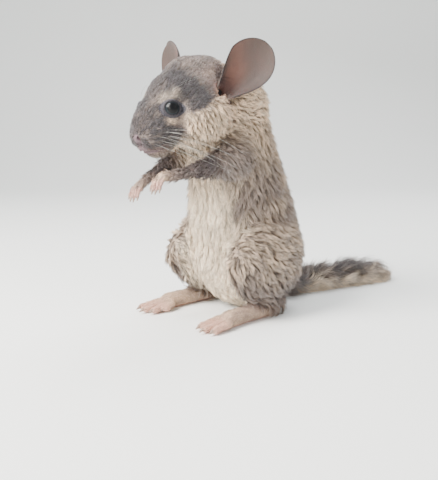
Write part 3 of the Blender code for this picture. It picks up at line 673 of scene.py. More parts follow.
def make_skin():
    """The skin of the whole body, in triangles, still in millimetres."""
    body = fused_body()
    refined_face(body)
    points = read(body.data.vertices, "co", 3)
    normals = read(body.data.vertex_normals, "vector", 3)
    move_points(body.data, carved(points, normals))
    bm = bmesh.new()
    bm.from_mesh(body.data)
    bmesh.ops.triangulate(bm, faces=bm.faces)
    bm.to_mesh(body.data)
    bm.free()
    body.data.shade_smooth()
    return body


def nearest_limb(points, limbs):
    """The way along the nearest of the limbs, for each point."""
    away = np.stack([distance_to(limb, points) for limb in limbs], axis=1)
    ways = unit(np.array([limb.end - limb.start for limb in limbs]))
    return ways[np.argmin(away, axis=1)]


def beyond_elbow(points):
    """0 behind the elbows and 1 before them."""
    return step(54, 64, -points[:, 1])


def beyond_toe_roots(points):
    """0 on the length of the foot and 1 on the toes."""
    return step(55, 66, -points[:, 1])


def guides_of(points):
    """The way that the fur is guided in each region, not yet laid into the skin."""
    side = np.sign(points[:, 0])[:, None] * step(0, 12, np.abs(points[:, 0]))[:, None]
    ones = np.ones((len(points), 1))

    def way(left, backward, up):
        return np.concatenate([left * side, backward * ones, up * ones], axis=1)

    ahead = to_head(points)[1]
    from_nose = unit(points - np.array(in_head(0, 52, -6)))
    back = HEAD_FRAME.to_3x3() @ at(0, -1, 0)
    face = unit(from_nose + 0.6 * np.array(back) * step(-10, 20, ahead)[:, None])
    mirrored = points.copy()
    mirrored[:, 0] = np.abs(mirrored[:, 0])
    from_ear = unit(mirrored - np.array(in_head(20, -12, 8)))
    from_ear[:, 0] *= np.where(points[:, 0] < 0, -1, 1)
    cheek = unit(unit(way(0.15, 0.62, -0.9)) + 0.9 * from_ear * step(110, 140, points[:, 2])[:, None])
    long_fur = ruff_share(points)[:, None]
    forearm = beyond_elbow(points)[:, None]
    belly = step(15, -25, points[:, 1])[:, None]
    forelegs, forepaws = ([f for f in REGIONS[n] if isinstance(f, Limb)] for n in ("foreleg", "forepaw"))
    return {
        "trunk": way(0.1, 0.75 - 0.85 * belly, -1.0),
        "neck": cheek,
        "head": face * (1 - long_fur) + cheek * long_fur,
        "haunch": way(0.1, 0.8, -0.75),
        "foot": way(0, -1.0, -0.2),
        "foreleg": cheek * (1 - forearm) + forearm * nearest_limb(points, forelegs),
        "forepaw": nearest_limb(points, forepaws),
        "tail": nearest_limb(points, REGIONS["tail"]),
    }


def lie_of(points, normals, shares, surface):
    """The way that the fur lies, a unit vector in the skin at each point."""
    guides = guides_of(points)
    lie = sum(shares[name][:, None] * unit(guides[name]) for name in REGIONS)
    for _ in range(3):
        lie = surface.spread(lie, 8)
        lie = unit(lie - dot(lie, normals) * normals)
    rng = np.random.default_rng([SEED, 50])
    turn = 0
    for times, part in ((8, 0.4), (30, 0.5), (160, 0.8)):
        swirl = surface.spread(rng.normal(0, 1, (len(points), 1)), times)
        turn = turn + part * swirl / swirl.std()
    turn *= sum(shares[name] * SWIRLS[name] for name in REGIONS)[:, None]
    return lie * np.cos(turn) + np.cross(normals, lie) * np.sin(turn)


def lumps(rng, points, size):
    """Random values, about -1 to 1, that change smoothly over about the size, in mm."""
    grid = rng.normal(0, 1, (48, 48, 48))
    low = np.floor(points / size).astype(int)
    part = points / size - low
    total = np.zeros(len(points))
    for corner in np.ndindex(2, 2, 2):
        share = np.prod(np.where(corner, part, 1 - part), axis=1)
        total += share * grid[tuple(((low + corner) % 48).T)]
    return total / total.std()


def streaks(surface, lie):
    """Random values that run out along the lie: the light and dark streaks of the coat."""
    near, far = surface.edges.T
    way = unit(surface.points[far] - surface.points[near])
    flow = np.abs(np.sum(way * unit(lie[near] + lie[far]), axis=1)) ** 6 + 0.01
    size = len(surface.points)
    total = np.bincount(near, flow, size) + np.bincount(far, flow, size)
    values = lumps(np.random.default_rng([SEED, 60]), surface.points, 1.3)
    for _ in range(60):
        moved = flow * (values[far] - values[near])
        values += 0.5 * (np.bincount(near, moved, size) - np.bincount(far, moved, size)) / total
    return np.clip(values / values.std(), -2, 2)


def face_line(places, *line):
    """Distance of places in the head, (side, ahead, above), from a chain of such places."""
    return line_distance(places, [Vector(place) for place in line])


# Lines through the left half of the face: how far from the line a marking begins, how near it is
# full, and the line's places.
FACE_MARKS = {
    "brow": (5.2, 0.6, (10.5, 22.6, 12.2), (13.6, 18, 13), (16.2, 14.4, 12)),
    "behind_eye": (4.2, 0.8, (18.6, 12.2, 9), (20.6, 12.2, 4.5), (23, 14.5, -0.5)),
    "under_eye": (6.5, 2.5, (16, 26.5, -3), (21.5, 21, -4.5), (24, 15, -6)),
    "temple": (9.5, 5.5, (19, 3, 13), (25, 3, 4), (28, 6, 0)),
    "above_temple": (8, 4, (10, 6, 21), (14, 5, 18), (20, 3, 12)),
    "edge_of_ruff": (4.0, 1.0, (20, 21.5, -11), (14, 21.5, -18), (9, 24, -23)),
    "pad": (11, 6, (10, 41, -6), (14, 33, -9)),
    "over_pad": (3.6, 1.2, (11, 37, 1.7), (16, 30, -4.5), (19, 21.5, -11)),
}
LONG_PAD = ((9, 40, -9), (13, 34, -12))  # the line of the muzzle's long fur

# What the parts of the markings are worked out from: the points, their places in the mirrored head,
# the regions' shares, the streaks along the lie, broader patches, and how strong each face mark is.
Site = namedtuple("Site", "points places shares streak patches marks")


def belly_share(site):
    """1 on the pale fur of the belly, the chest, the chin and the underside of the tail."""
    points, shares = site.points, site.shares
    side, _, above = site.places.T
    head, up = shares["head"], points[:, 2]
    azimuth = np.abs(np.degrees(np.arctan2(points[:, 0], -points[:, 1] + 2)))
    azimuth = azimuth + 5 * site.patches + 3 * site.streak
    half = np.interp(up, [20, 60, 85, 105, 120], [52, 44, 34, 27, 24])
    belly = step(half + 13, half - 13, azimuth) * step(140, 126, up) * (shares["trunk"] + shares["neck"])
    chest = step(17, 11, np.abs(points[:, 0])) * step(40, 52, -points[:, 1]) * step(96, 104, up)
    forearm = shares["foreleg"] * beyond_elbow(points)
    belly = np.maximum(belly, chest * (1 - shares["forepaw"] - 0.9 * forearm) * (1 - head))
    belly = np.maximum(belly, step(-28, -34, above) * (shares["neck"] + head) * step(24, 12, side))
    # Less pale high on the belly: painted shade under the arms.
    belly *= 1 - 0.5 * step(88, 112, up)
    return belly + shares["tail"] * np.interp(up, [3, 8, 12], [0.5, 0.4, 0])


def face_slate(site, temple, before_ear):
    """How dark the face is."""
    marks = site.marks
    crown = step(4, -8, site.places[:, 1]) * step(6, 13, site.places[:, 2])
    slate = 0.88 + 0.26 * temple + 0.06 * marks["pad"] + 0.10 * marks["over_pad"]
    slate += 0.2 * marks["edge_of_ruff"]
    slate -= 0.26 * crown + 0.2 * before_ear * (1 - temple) + 0.5 * marks["under_eye"] * (1 - temple)
    slate += 0.2 * step(8, 4, from_upper_lip(site.points))
    return slate + (0.12 + 0.08 * crown) * (1 - 0.5 * before_ear) * site.streak + 0.02 * site.patches


def body_slate(site, ruff):
    """How dark the body, the limbs and the tail are."""
    points, shares, streak = site.points, site.shares, site.streak
    up = points[:, 2]
    back = step(0, 22, points[:, 1]) * (shares["trunk"] + 0.6 * shares["haunch"])
    forearm = shares["foreleg"] * beyond_elbow(points)
    upper_arm = shares["foreleg"] - forearm
    # Darker low on the neck and on the upper arm under the ruff: painted shade.
    low_ruff = step(136, 118, up) * (upper_arm + shares["neck"])
    # Darker round the ears' roots: greyer fur there and painted shade in the hollow between crown and ear.
    behind_ear = np.maximum(*[spot_share(points, side, BEHIND_EAR) for side in SIDES.values()])
    # The right paw, the far one, darker all over: partly its greyer fur, partly painted shade.
    right_paw = shares["forepaw"] * (points[:, 0] < 0)
    left_paw = shares["forepaw"] * (points[:, 0] > 0)
    slate = 0.36 * back + 0.88 * forearm + 0.42 * upper_arm
    slate += np.interp(up, [3, 8, 13], [0.3, 0.35, 0.85]) * shares["tail"]
    slate += 0.02 * ruff + 0.1 * low_ruff + 0.27 * shares["haunch"] + 0.40 * shares["trunk"] * (1 - back)
    # The haunch darker towards the floor: partly its darker fur, partly painted shade.
    slate += 0.42 * step(50, 18, up) * shares["haunch"] + 0.3 * step(0, 0.5, behind_ear)
    slate += 0.35 * right_paw + 0.22 * shares["foot"] * (1 - beyond_toe_roots(points))
    slate += (1 - shares["head"]) * (0.07 * streak + 0.05 * site.patches)
    return slate + 0.3 * left_paw * step(-0.3, 1.2, streak)


def rose_share(site, temple, before_ear):
    """How much rosy skin shows through."""
    points, shares, head = site.points, site.shares, site.shares["head"]
    sole = step(2.2, 0.8, points[:, 2]) * shares["foot"]
    toes = beyond_toe_roots(points) * shares["foot"]
    fingers = np.zeros(len(points))
    for side in SIDES.values():
        local = points - np.array(arm_places(side)[3])
        reach = np.linalg.norm(local, axis=1) - 0.6 * local[:, 2]
        beyond = step(3.5, 9, reach) * step(1, -1, local[:, 1])
        fingers = np.maximum(fingers, beyond * (side * points[:, 0] > 0))
    lips = step(6, 2, line_distance(points, mouth_lines()[1])) * head
    base = np.maximum(*[spot_share(points, side, ROSY_BASE) for side in SIDES.values()])
    rose = 0.15 * lips + 0.4 * step(0, 0.4, base) + (0.08 + 0.55 * fingers) * shares["forepaw"]
    rose += 0.03 * (shares["foreleg"] * beyond_elbow(points))
    rose += sole + (0.14 + 0.5 * toes) * shares["foot"] + 0.16 * before_ear * head * (1 - temple)
    return rose


def zones_of(points, shares, streak):
    """The markings: (cream, slate, rose) at each point, each 0 to 1."""
    places = mirrored_in_head(points)
    side, ahead, above = places.T
    patches = lumps(np.random.default_rng([SEED, 61]), points, 9)
    marks = {
        name: step(start, full, face_line(places, *line)) for name, (start, full, *line) in FACE_MARKS.items()
    }
    site = Site(points, places, shares, streak, patches, marks)
    head = shares["head"]
    ruff = ruff_share(points) * np.clip(head + shares["neck"], 0, 1)
    pale = np.clip(marks["brow"] + 0.2 * marks["behind_eye"], 0, 1) * (1 - ruff)
    temple = np.maximum(marks["temple"], 0.6 * marks["above_temple"])
    before_ear = step(-5, -13, ahead) * step(22, 12, above)
    throat = step(-17.5, -24, above) * step(0, 14, ahead) * step(18, 9, side)
    belly = belly_share(site)
    inner_thigh = shares["haunch"] * step(34, 26, np.abs(points[:, 0])) * step(20, 34, -points[:, 1])
    cream = np.clip(belly + 0.3 * pale * head + 0.12 * throat * head + inner_thigh, 0, 1)
    slate = head * (1 - ruff) * face_slate(site, temple, before_ear) + body_slate(site, ruff)
    slate = np.clip(slate - 0.36 * pale * head - 0.2 * throat * head, 0, 1) * (1 - 0.85 * belly)
    rose = np.clip(rose_share(site, temple, before_ear), 0, 1)
    return np.stack([cream, slate, rose], axis=1)


def bare_share(points, shares):
    """1 where no fur grows."""
    foot = shares["foot"]
    mouth = line_distance(points, mouth_lines()[1]) - 1.6 * step(7, 3, np.abs(to_head(points)[0]))
    parts = [
        step(0.25, 0.6, ellipsoid(points, *NOSE_PAD)),
        step(1.5, 0.7, mouth) * (shares["head"] > 0.5),
        0.8 * step(5.5, 3.5, from_upper_lip(points)),
        step(2.6, 1.2, points[:, 2]) * foot,
        0.1 * shares["forepaw"] + 0.2 * foot,
    ]
    for side in SIDES.values():
        parts += [lid_share(points, side), step(0.0, 0.3, spot_share(points, side, EAR_BASE))]
    return np.max(parts, axis=0)


def shades_of(points, shares):
    """The bare skin's colours: (lid grey, hollow shade, mauve) at each point, each 0 to 1. The hollow shade
    is painted shade in the line between the lips, the gaps between the digits, the ear canals and the sunk
    skin before them, the nostrils and round the lids' edge.
    """
    cleft, lips = (line_distance(points, line) for line in mouth_lines())
    on_head = shares["head"] > 0.5
    # Painted shade in the holes and clefts of the bare skin.
    hollow_shades = [0.7 * step(0.6, 0.2, lips) * on_head]
    for side in SIDES.values():
        hollow_shades += [
            0.55 * digit_gaps(points, side),
            step(0.05, 0.45, spot_share(points, side, EAR_CANAL)),
            0.45 * step(0.0, 0.5, spot_share(points, side, CANAL_SHADE)),
            step(0.02, 0.3, nostril_share(points, side)),
            0.6 * step(1.18, 1.04, from_eye(points, side)[1]),
        ]
    mauves = [
        step(0.05, 0.5, ellipsoid(points, *NOSE_PAD)),
        0.85 * step(3.8, 1.4, np.minimum(lips, cleft + 0.8)) * on_head,
        0.8 * step(7, 4, from_upper_lip(points)),
    ]
    lids = [lid_share(points, side) for side in SIDES.values()]
    return np.stack([np.max(parts, axis=0) for parts in (lids, hollow_shades, mauves)], axis=1)


def fur_length(surface, shares):
    """How long the fur is at each point: 1 where it has the full length of its style."""
    points = surface.points
    places = mirrored_in_head(points)
    side, ahead, above = places.T
    ruff = ruff_share(points)
    soft_ruff = surface.spread(ruff[:, None], 60)[:, 0]
    long = 1 - 0.45 * step(25, 44, ahead) * shares["head"]
    long = np.where(ruff > 0.02, 0.45 + 0.55 * step(0.45, 0.95, soft_ruff), long)
    long = long * (0.15 + 0.85 * step(4, 9, away_from(places, EAR_CANAL[0])))
    shorter = 0.4 * step(-8, -14, ahead) * shares["head"] * step(2, 6, above) * step(9, 16, side)
    long = long * (1 - shorter)
    for one in SIDES.values():
        outward, ring = from_eye(points, one)
        long = np.where(outward > 0, long * (0.35 + 0.65 * step(1.2, 2.2, ring)), long)
    return long


Skin = namedtuple("Skin", "points normals lie zones bare long shares faces areas tree")


def measured(body):
    """The skin as arrays, with its fur's lie, its markings and its regions."""
    surface = Surface(body.data)
    points = surface.points
    normals = read(body.data.vertex_normals, "vector", 3)
    distances = region_distances(points)
    shares = region_shares(distances, REGION_EDGE)
    lie = lie_of(points, normals, shares, surface)
    zones = zones_of(points, region_shares(distances, MARKING_EDGE), streaks(surface, lie))
    bare = bare_share(points, shares)
    long = fur_length(surface, shares)
    faces = read(body.data.polygons, "vertices", 3, np.int64)
    corners = points[faces]
    cross = np.cross(corners[:, 1] - corners[:, 0], corners[:, 2] - corners[:, 0])
    areas = np.linalg.norm(cross, axis=1) / 2
    tree = BVHTree.FromPolygons(points.tolist(), faces.tolist())
    return Skin(points, normals, lie, zones, bare, long, shares, faces, areas, tree)


def set_attribute(mesh, name, values):
    attribute = mesh.attributes.new(name, "FLOAT_VECTOR", "POINT")
    attribute.data.foreach_set("vector", values.astype(np.float32).ravel())


# ---------------------------------------------------------------- the coat

# density: tufts per square mm; length, width, lift (height of the tips) in mm; spacing of the
# locks; gather: how far a lock's tips draw together; wave: sideways swing in mm, and waves: how
# many along a tuft; rings: cross-sections of a tuft; sway: how far a lock may turn aside, radians;
# stray: how far single tufts wander, mm; depth: how dark the roots are, as the dark under-fur and as
# painted shade, more in the gaps between locks; tones: how unlike they are;
# rise: 1 for tufts that rise evenly to their tips, more for ones that rise at the root.
Style = namedtuple(
    "Style", "density length width lift spacing gather wave waves rings sway stray depth tones rise"
)
STYLES = {
    "face": Style(2.8, 3.8, 0.38, 1.1, 1.5, 0.40, 0.08, 0.5, 2, 0.30, 0.30, 0.60, 0.90, 1.8),
    "pad": Style(1.3, 8.0, 0.50, 1.8, 1.2, 0.25, 0.10, 0.5, 3, 0.15, 0.40, 0.30, 1.50, 1.4),
    "ruff": Style(1.75, 7.2, 0.43, 4.8, 2.3, 0.75, 0.40, 1.1, 3, 0.85, 0.60, 1.00, 0.50, 1.15),
    "back": Style(0.95, 11.0, 0.52, 4.8, 3.2, 0.70, 0.25, 0.7, 3, 0.40, 0.80, 0.70, 0.38, 1.2),
    "belly": Style(1.35, 10.5, 0.42, 3.6, 4.6, 0.45, 0.20, 0.6, 3, 0.25, 0.90, 0.20, 0.22, 1.4),
    "haunch": Style(1.6, 9.4, 0.44, 5.4, 3.0, 0.80, 0.34, 0.8, 3, 0.80, 0.70, 1.05, 0.52, 1.1),
    "foreleg": Style(2.8, 5.2, 0.36, 2.6, 2.2, 0.45, 0.15, 0.6, 2, 0.35, 0.50, 1.40, 0.50, 1.4),
    "foot": Style(2.0, 2.8, 0.27, 0.8, 2.0, 0.15, 0.05, 0.5, 2, 0.20, 0.25, 0.15, 0.40, 1.6),
    "tail": Style(2.3, 21.0, 0.36, 13.0, 2.6, 0.25, 0.80, 0.9, 3, 0.50, 2.60, 0.60, 0.60, 1.3),
}


def style_shares(skin):
    """How much of each style grows at each point of the skin."""
    shares, points = skin.shares, skin.points
    ruff = ruff_share(points)
    belly = skin.zones[:, 0]
    hairy = 1 - skin.bare
    pad = step(10, 6, face_line(mirrored_in_head(points), *LONG_PAD))
    trunk = shares["trunk"] + shares["haunch"] * step(30, 20, np.abs(points[:, 0]))
    forearm = shares["foreleg"] * step(58, 68, -points[:, 1])
    upper_arm = shares["foreleg"] - forearm
    return {
        "face": shares["head"] * (1 - ruff) * hairy * (1 - 0.3 * pad),
        "pad": shares["head"] * pad * hairy,
        "ruff": (shares["neck"] + shares["head"] * ruff + upper_arm) * hairy * (1 - 0.6 * belly),
        "back": trunk * (1 - belly),
        "belly": trunk * belly,
        "haunch": shares["haunch"] * step(20, 30, np.abs(points[:, 0])),
        "foreleg": forearm,
        "foot": (shares["foot"] + shares["forepaw"]) * hairy,
        "tail": shares["tail"] * step(1.0, 2.5, points[:, 2]),
    }


def scattered(rng, skin, weight, density):
    """Random places on the skin, as (face index, corner shares), about density * weight per square mm."""
    mass = np.cumsum(skin.areas * weight[skin.faces].mean(axis=1) * density)
    count = int(mass[-1])
    face = np.searchsorted(mass, (np.arange(count) + rng.random(count)) / count * mass[-1])
    face = np.minimum(face, len(skin.faces) - 1)
    first, second = rng.random((2, count))
    over = first + second > 1
    first[over], second[over] = 1 - first[over], 1 - second[over]
    return face, np.stack([1 - first - second, first, second], axis=1)


def carried(skin, values, face, corners):
    """Values of the skin's points at scattered places."""
    return np.einsum("nc,nc...->n...", corners, values[skin.faces[face]])


def spaced(rng, points, spacing):
    """The indices of points that keep apart by about the spacing, some by less and some by more."""
    cells = {}
    kept = []
    limits = (spacing * rng.uniform(0.5, 1.1, len(points))) ** 2
    places = np.floor(points / (1.1 * spacing)).astype(int)
    for i in rng.permutation(len(points)):
        cell = tuple(places[i])
        near = (
            j
            for dx in (-1, 0, 1)
            for dy in (-1, 0, 1)
            for dz in (-1, 0, 1)
            for j in cells.get((cell[0] + dx, cell[1] + dy, cell[2] + dz), ())
        )
        if all(np.sum((points[i] - points[j]) ** 2) > limits[i] for j in near):
            cells.setdefault(cell, []).append(i)
            kept.append(i)
    return np.array(kept)


def trace(skin, starts, strides, turns, count):
    """Follows the lie from each start: places, normals and headings, each (starts, count, 3)."""
    face_normals = unit(skin.normals[skin.faces].mean(axis=1))
    face_lies = unit(skin.lie[skin.faces].mean(axis=1))
    place, heading = starts.copy(), None
    path = []
    for _ in range(count):
        found = [skin.tree.find_nearest(point) for point in place.tolist()]
        place = np.array([hit[0] for hit in found])
        faces = np.array([hit[2] for hit in found])
        normal, lie = face_normals[faces], face_lies[faces]
        if heading is not None:
            lie = unit(0.5 * lie + 0.5 * heading)
        aside = np.cross(normal, lie)
        heading = unit(lie * np.cos(turns)[:, None] + aside * np.sin(turns)[:, None])
        heading = unit(heading - dot(heading, normal) * normal)
        path.append((place, normal, heading))
        place = place + heading * strides[:, None]
    return [np.stack(column, axis=1) for column in zip(*path)]


def nearest_index(points, centres):
    """For each point the index of the nearest centre, and of the next nearest one's distance ratio."""
    from mathutils.kdtree import KDTree

    tree = KDTree(len(centres))
    for i, centre in enumerate(centres.tolist()):
        tree.insert(centre, i)
    tree.balance()
    found = [tree.find_n(point, 2) for point in points.tolist()]
    index = np.array([pair[0][1] for pair in found])
    first = np.array([pair[0][2] for pair in found])
    second = np.array([pair[-1][2] for pair in found])
    return index, first / np.maximum(second, 1e-6)


def ears_tree():
    """The middle surfaces of both ears, to tell which tufts would run through them."""
    points, faces, count = [], [], 24
    for side in SIDES.values():
        first = len(points)
        for row in range(count + 1):
            points += [ear_point(side, 2 * column / count - 1, row / count) for column in range(count + 1)]
        corners = (0, 1, count + 2, count + 1)
        starts = [first + row * (count + 1) + column for row in range(count) for column in range(count)]
        faces += [tuple(start + corner for corner in corners) for start in starts]
    return BVHTree.FromPolygons(points, faces)


def clear_of_ears(line):
    """True for the tufts whose line stays on one side of the ears."""
    tree = ears_tree()
    clear = np.ones(len(line), bool)
    root = line[:, 0]
    near = [away_from(root, ear_point(side, 0, 0.15)) < 32 for side in SIDES.values()]
    for i in np.flatnonzero(near[0] | near[1]):
        for start, end in zip(line[i, :-1].tolist(), line[i, 1:].tolist()):
            way = Vector(end) - Vector(start)
            if tree.ray_cast(start, way.normalized(), way.length + 0.4)[0] is not None:
                clear[i] = False
    return clear


ROOT_DEPTH = 0.4  # of a tuft under the skin
# A tuft's strand values are the share from root to tip, its tone, and how dark its root is: dark under-fur
# and painted shade, the more at the edge of its lock.
Tufts = namedtuple("Tufts", "roots verts zones strands")
Locks = namedtuple("Locks", "centres path normals headings asides long")


def laid_locks(rng, skin, style, weight):
    """The locks: how each runs over the skin, ring by ring, and how long it is."""
    face, corners = scattered(rng, skin, weight, 4 / style.spacing**2)
    places = carried(skin, skin.points, face, corners)
    kept = spaced(rng, places, style.spacing)
    count, steps = len(kept), style.rings + 1
    long = carried(skin, skin.long, face[kept], corners[kept]) * rng.uniform(0.8, 1.2, count)
    turns = rng.normal(0, style.sway / steps, count)
    path, normals, headings = trace(skin, places[kept], style.length * long / style.rings, turns, steps)
    return Locks(places[kept], path, normals, headings, np.cross(normals, headings), long)


def tuft_lines(rng, style, locks, roots, lock, edge):
    """The line of each tuft from root to tip, and the skin's normals along it."""
    count, share = len(roots), np.arange(style.rings + 1) / style.rings
    offset = roots - locks.path[lock, 0]
    along = dot(offset, locks.headings[lock, 0])
    across = dot(offset, locks.asides[lock, 0])
    long = rng.uniform(0.72, 1.08, count)
    lift = style.lift * rng.uniform(0.65, 1.2, len(locks.long))[lock] * (1 - 0.35 * edge**2)
    lift = lift * rng.uniform(0.85, 1.1, count)
    lift = lift * np.minimum(1, locks.long[lock])

    reach = np.clip(share[None, :] * long[:, None], 0, 1) * style.rings
    low = np.minimum(reach.astype(int), style.rings - 1)
    part = (reach - low)[:, :, None]

    def on_path(values):
        return values[lock[:, None], low] * (1 - part) + values[lock[:, None], low + 1] * part

    middle, normal, heading, aside = map(on_path, (locks.path, locks.normals, locks.headings, locks.asides))
    gather = style.gather * step(0.0, 0.85, share)[None, :, None]
    phase = rng.uniform(0, 2 * np.pi, len(locks.long))[lock][:, None] + rng.normal(0, 0.35, count)[:, None]
    swing = 2 * np.pi * style.waves * share[None, :] + phase
    size = style.wave * np.sqrt(share)[None, :]
    height = lift[:, None] * (1 - (1 - share[None, :]) ** style.rise) - ROOT_DEPTH * (share[None, :] == 0)
    drift = rng.normal(0, style.stray, (count, 2))[:, None, :] * (share**1.5)[None, :, None]
    line = (
        middle
        + (1 - gather) * (along[:, None] * heading + across[:, None] * aside)
        + aside * (size * np.sin(swing))[:, :, None]
        + normal * (height + 0.8 * size * np.cos(swing))[:, :, None]
        + aside * drift[:, :, :1]
        + normal * 0.5 * drift[:, :, 1:]
    )
    line[:, :, 2] = np.maximum(line[:, :, 2], 0.25)
    return line, normal


def tuft_corners(rng, style, line, normal):
    """The corners of each tuft: three to a ring, on a flat ridged section, and the tip."""
    count, share = len(line), np.arange(style.rings + 1) / style.rings
    way = unit(np.gradient(line, axis=1))
    flat = unit(np.cross(normal, way))
    raised = np.cross(way, flat)
    roll = rng.normal(0, 0.45, count)[:, None, None]
    cos, sin = np.cos(roll), np.sin(roll)
    flat, raised = flat * cos + raised * sin, raised * cos - flat * sin
    width = style.width * rng.uniform(0.7, 1.25, count)[:, None]
    width = width * (0.75 + 0.5 * share - 0.75 * share**2)[None, :]
    half = flat * width[:, :, None] / 2
    ridge = raised * width[:, :, None] * 0.4
    rings = np.stack([line - half, line + ridge, line + half], axis=2)[:, :-1]
    verts = np.concatenate([rings.reshape(count, -1, 3), line[:, -1:]], axis=1)
    verts[:, :, 2] = np.maximum(verts[:, :, 2], 0.1)
    return verts


def grow(skin, name, style, weight):
    """The tufts of one style, gathered in locks."""
    rng = np.random.default_rng([SEED, list(STYLES).index(name)])
    locks = laid_locks(rng, skin, style, weight)
    face, corners = scattered(rng, skin, weight, style.density)
    roots = carried(skin, skin.points, face, corners)
    zones = carried(skin, skin.zones, face, corners)
    lock, edge = nearest_index(roots, locks.centres)
    line, normal = tuft_lines(rng, style, locks, roots, lock, edge)
    verts = tuft_corners(rng, style, line, normal)
    tone = rng.normal(0, 1, len(locks.long))[lock] + 0.7 * rng.normal(0, 1, len(roots))
    tone = np.clip(0.5 + style.tones * 0.6 * tone, 0, 1)
    strands = np.empty((*verts.shape[:2], 3))
    strands[:, :, 0] = np.concatenate([np.repeat(np.arange(style.rings) / style.rings, 3), [1.0]])
    strands[:, :, 1] = tone[:, None]
    # A root is darker the nearer it stands to its lock's edge: painted shade in the gaps between locks.
    strands[:, :, 2] = (style.depth * (0.55 + 0.45 * edge))[:, None]
    clear = clear_of_ears(line)
    return Tufts(roots[clear], verts[clear], zones[clear], strands[clear])


def tuft_faces(rings):
    """Triangles of one tuft: the root, the sides ring by ring, and the tip."""
    faces = [(0, 1, 2)]
    for ring in range(rings - 1):
        for corner in range(3):
            a, b = 3 * ring + corner, 3 * ring + (corner + 1) % 3
            faces += [(a, a + 3, b + 3), (a, b + 3, b)]
    last = 3 * (rings - 1)
    faces += [(last + corner, last + 3, last + (corner + 1) % 3) for corner in range(3)]
    return np.array(faces)


PATCH = 0.003  # the size of a tuft in the map for baking
# (left, bottom, width, height) of each region's tile in that map.
TILES = {
    "trunk": (0.0, 0.0, 0.5, 0.4),
    "neck": (0.5, 0.0, 0.5, 0.3),
    "head": (0.0, 0.4, 0.5, 0.38),
    "haunch": (0.5, 0.3, 0.5, 0.25),
    "foot": (0.5, 0.55, 0.3, 0.15),
    "foreleg": (0.5, 0.7, 0.3, 0.14),
    "forepaw": (0.8, 0.55, 0.2, 0.29),
    "tail": (0.0, 0.78, 0.5, 0.22),
}
HALVED = ("haunch", "foot", "foreleg", "forepaw")  # tiles that hold one side in each half


def turn_share(across, along):
    """The angle of a place round an axis, as a share of a full turn."""
    return np.arctan2(across, along) / (2 * np.pi) + 0.5


def unwrapped(points):
    """Where a root lies on an unwrap of the skin: each form's own angle and length, in its own tile."""
    region = np.argmin(region_distances(points), axis=1)
    side, ahead, above = to_head(points)
    right = points[:, 0] < 0
    x, y, z = points.T
    turn = turn_share(x, -y + 12)
    limb_turn = turn_share(np.abs(x) - 20, z - 112)
    tail_turn = turn_share(x - TAIL_SWING * (np.clip((y - 40) / TAIL_LENGTH, 0, 1) ** 1.7), z - 8)
    maps = {
        "trunk": (turn, z / 150),
        "neck": (turn, (z - 110) / 90),
        "head": (turn_share(side, above + 3), (ahead + 42) / 92),
        "haunch": ((y + 60) / 120, z / 90),
        "foot": ((np.abs(x) - 20) / 30 + 0.2 * (z > 5), -y / 90),
        "foreleg": (limb_turn, (-y - 25) / 70),
        "forepaw": (limb_turn, (-y - 75) / 35),
        "tail": (tail_turn, (y - 20) / 150),
    }
    placed = np.zeros((len(points), 2))
    for i, name in enumerate(REGIONS):
        own = region == i
        left, bottom, width, height = TILES[name]
        u, v = (np.clip(part, 0.01, 0.99) for part in maps[name])
        if name in HALVED:
            u = (u + right) / 2
        placed[own] = np.stack([left + width * u, bottom + height * v], axis=1)[own]
    return placed


def coat_piece(name, tufts, chosen, material):
    """One joined mesh of the chosen tufts."""
    verts, roots = tufts.verts[chosen], tufts.roots[chosen]
    count, size = verts.shape[:2]
    template = tuft_faces((size - 1) // 3)
    faces = (np.arange(count)[:, None, None] * size + template[None]).reshape(-1, 3)
    mesh = bpy.data.meshes.new(name)
    mesh.vertices.add(count * size)
    mesh.vertices.foreach_set("co", (verts * MM).astype(np.float32).ravel())
    mesh.loops.add(faces.size)
    mesh.loops.foreach_set("vertex_index", faces.astype(np.int32).ravel())
    mesh.polygons.add(len(faces))
    mesh.polygons.foreach_set("loop_start", np.arange(0, faces.size, 3, dtype=np.int32))
    mesh.update(calc_edges=True)
    mesh.shade_smooth()
    set_attribute(mesh, "zones", np.repeat(tufts.zones[chosen], size, axis=0))
    set_attribute(mesh, "strand", tufts.strands[chosen].reshape(-1, 3))
    across = np.concatenate([np.tile([0.0, 0.5, 1.0], (size - 1) // 3), [0.5]])
    shares = tufts.strands[chosen][:, :, 0]
    corner = np.stack([np.broadcast_to(across, shares.shape), shares], axis=2) - 0.5
    uv = (unwrapped(roots)[:, None, :] + PATCH * corner).reshape(-1, 2)
    layer = mesh.uv_layers.new(name="OFBake")
    layer.data.foreach_set("uv", uv[faces.ravel()].astype(np.float32).ravel())
    mesh.materials.append(material)
    return add_piece(name, mesh)


def add_piece(name, mesh):
    obj = bpy.data.objects.new(name, mesh)
    bpy.context.scene.collection.objects.link(obj)
    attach(obj, "root")
    return obj


def smooth_piece(name, bm, material, slot, **attributes):
    """A piece from a bmesh in millimetres, with named values for its material."""
    bmesh.ops.scale(bm, verts=bm.verts, vec=(MM, MM, MM))
    mesh = bpy.data.meshes.new(name)
    bm.to_mesh(mesh)
    bm.free()
    mesh.shade_smooth()
    for key, values in attributes.items():
        set_attribute(mesh, key, values)
    mesh.materials.append(material)
    return add_piece(name, mesh)


def make_coat(skin, material):
    weights = style_shares(skin)
    total = 0
    for name, style in STYLES.items():
        tufts = grow(skin, name, style, np.clip(weights[name], 0, 1))
        each = len(tuft_faces(style.rings))
        for side_name, side in SIDES.items():
            chosen = np.flatnonzero((tufts.roots[:, 0] >= 0) == (side > 0))
            print(f"coat {name} {side_name}: {len(chosen)} tufts, {len(chosen) * each} triangles")
            total += len(chosen) * each
            coat_piece(f"coat_{name}_{side_name}", tufts, chosen, material)
    print(f"coat: {total} triangles")


# ---------------------------------------------------------------- materials


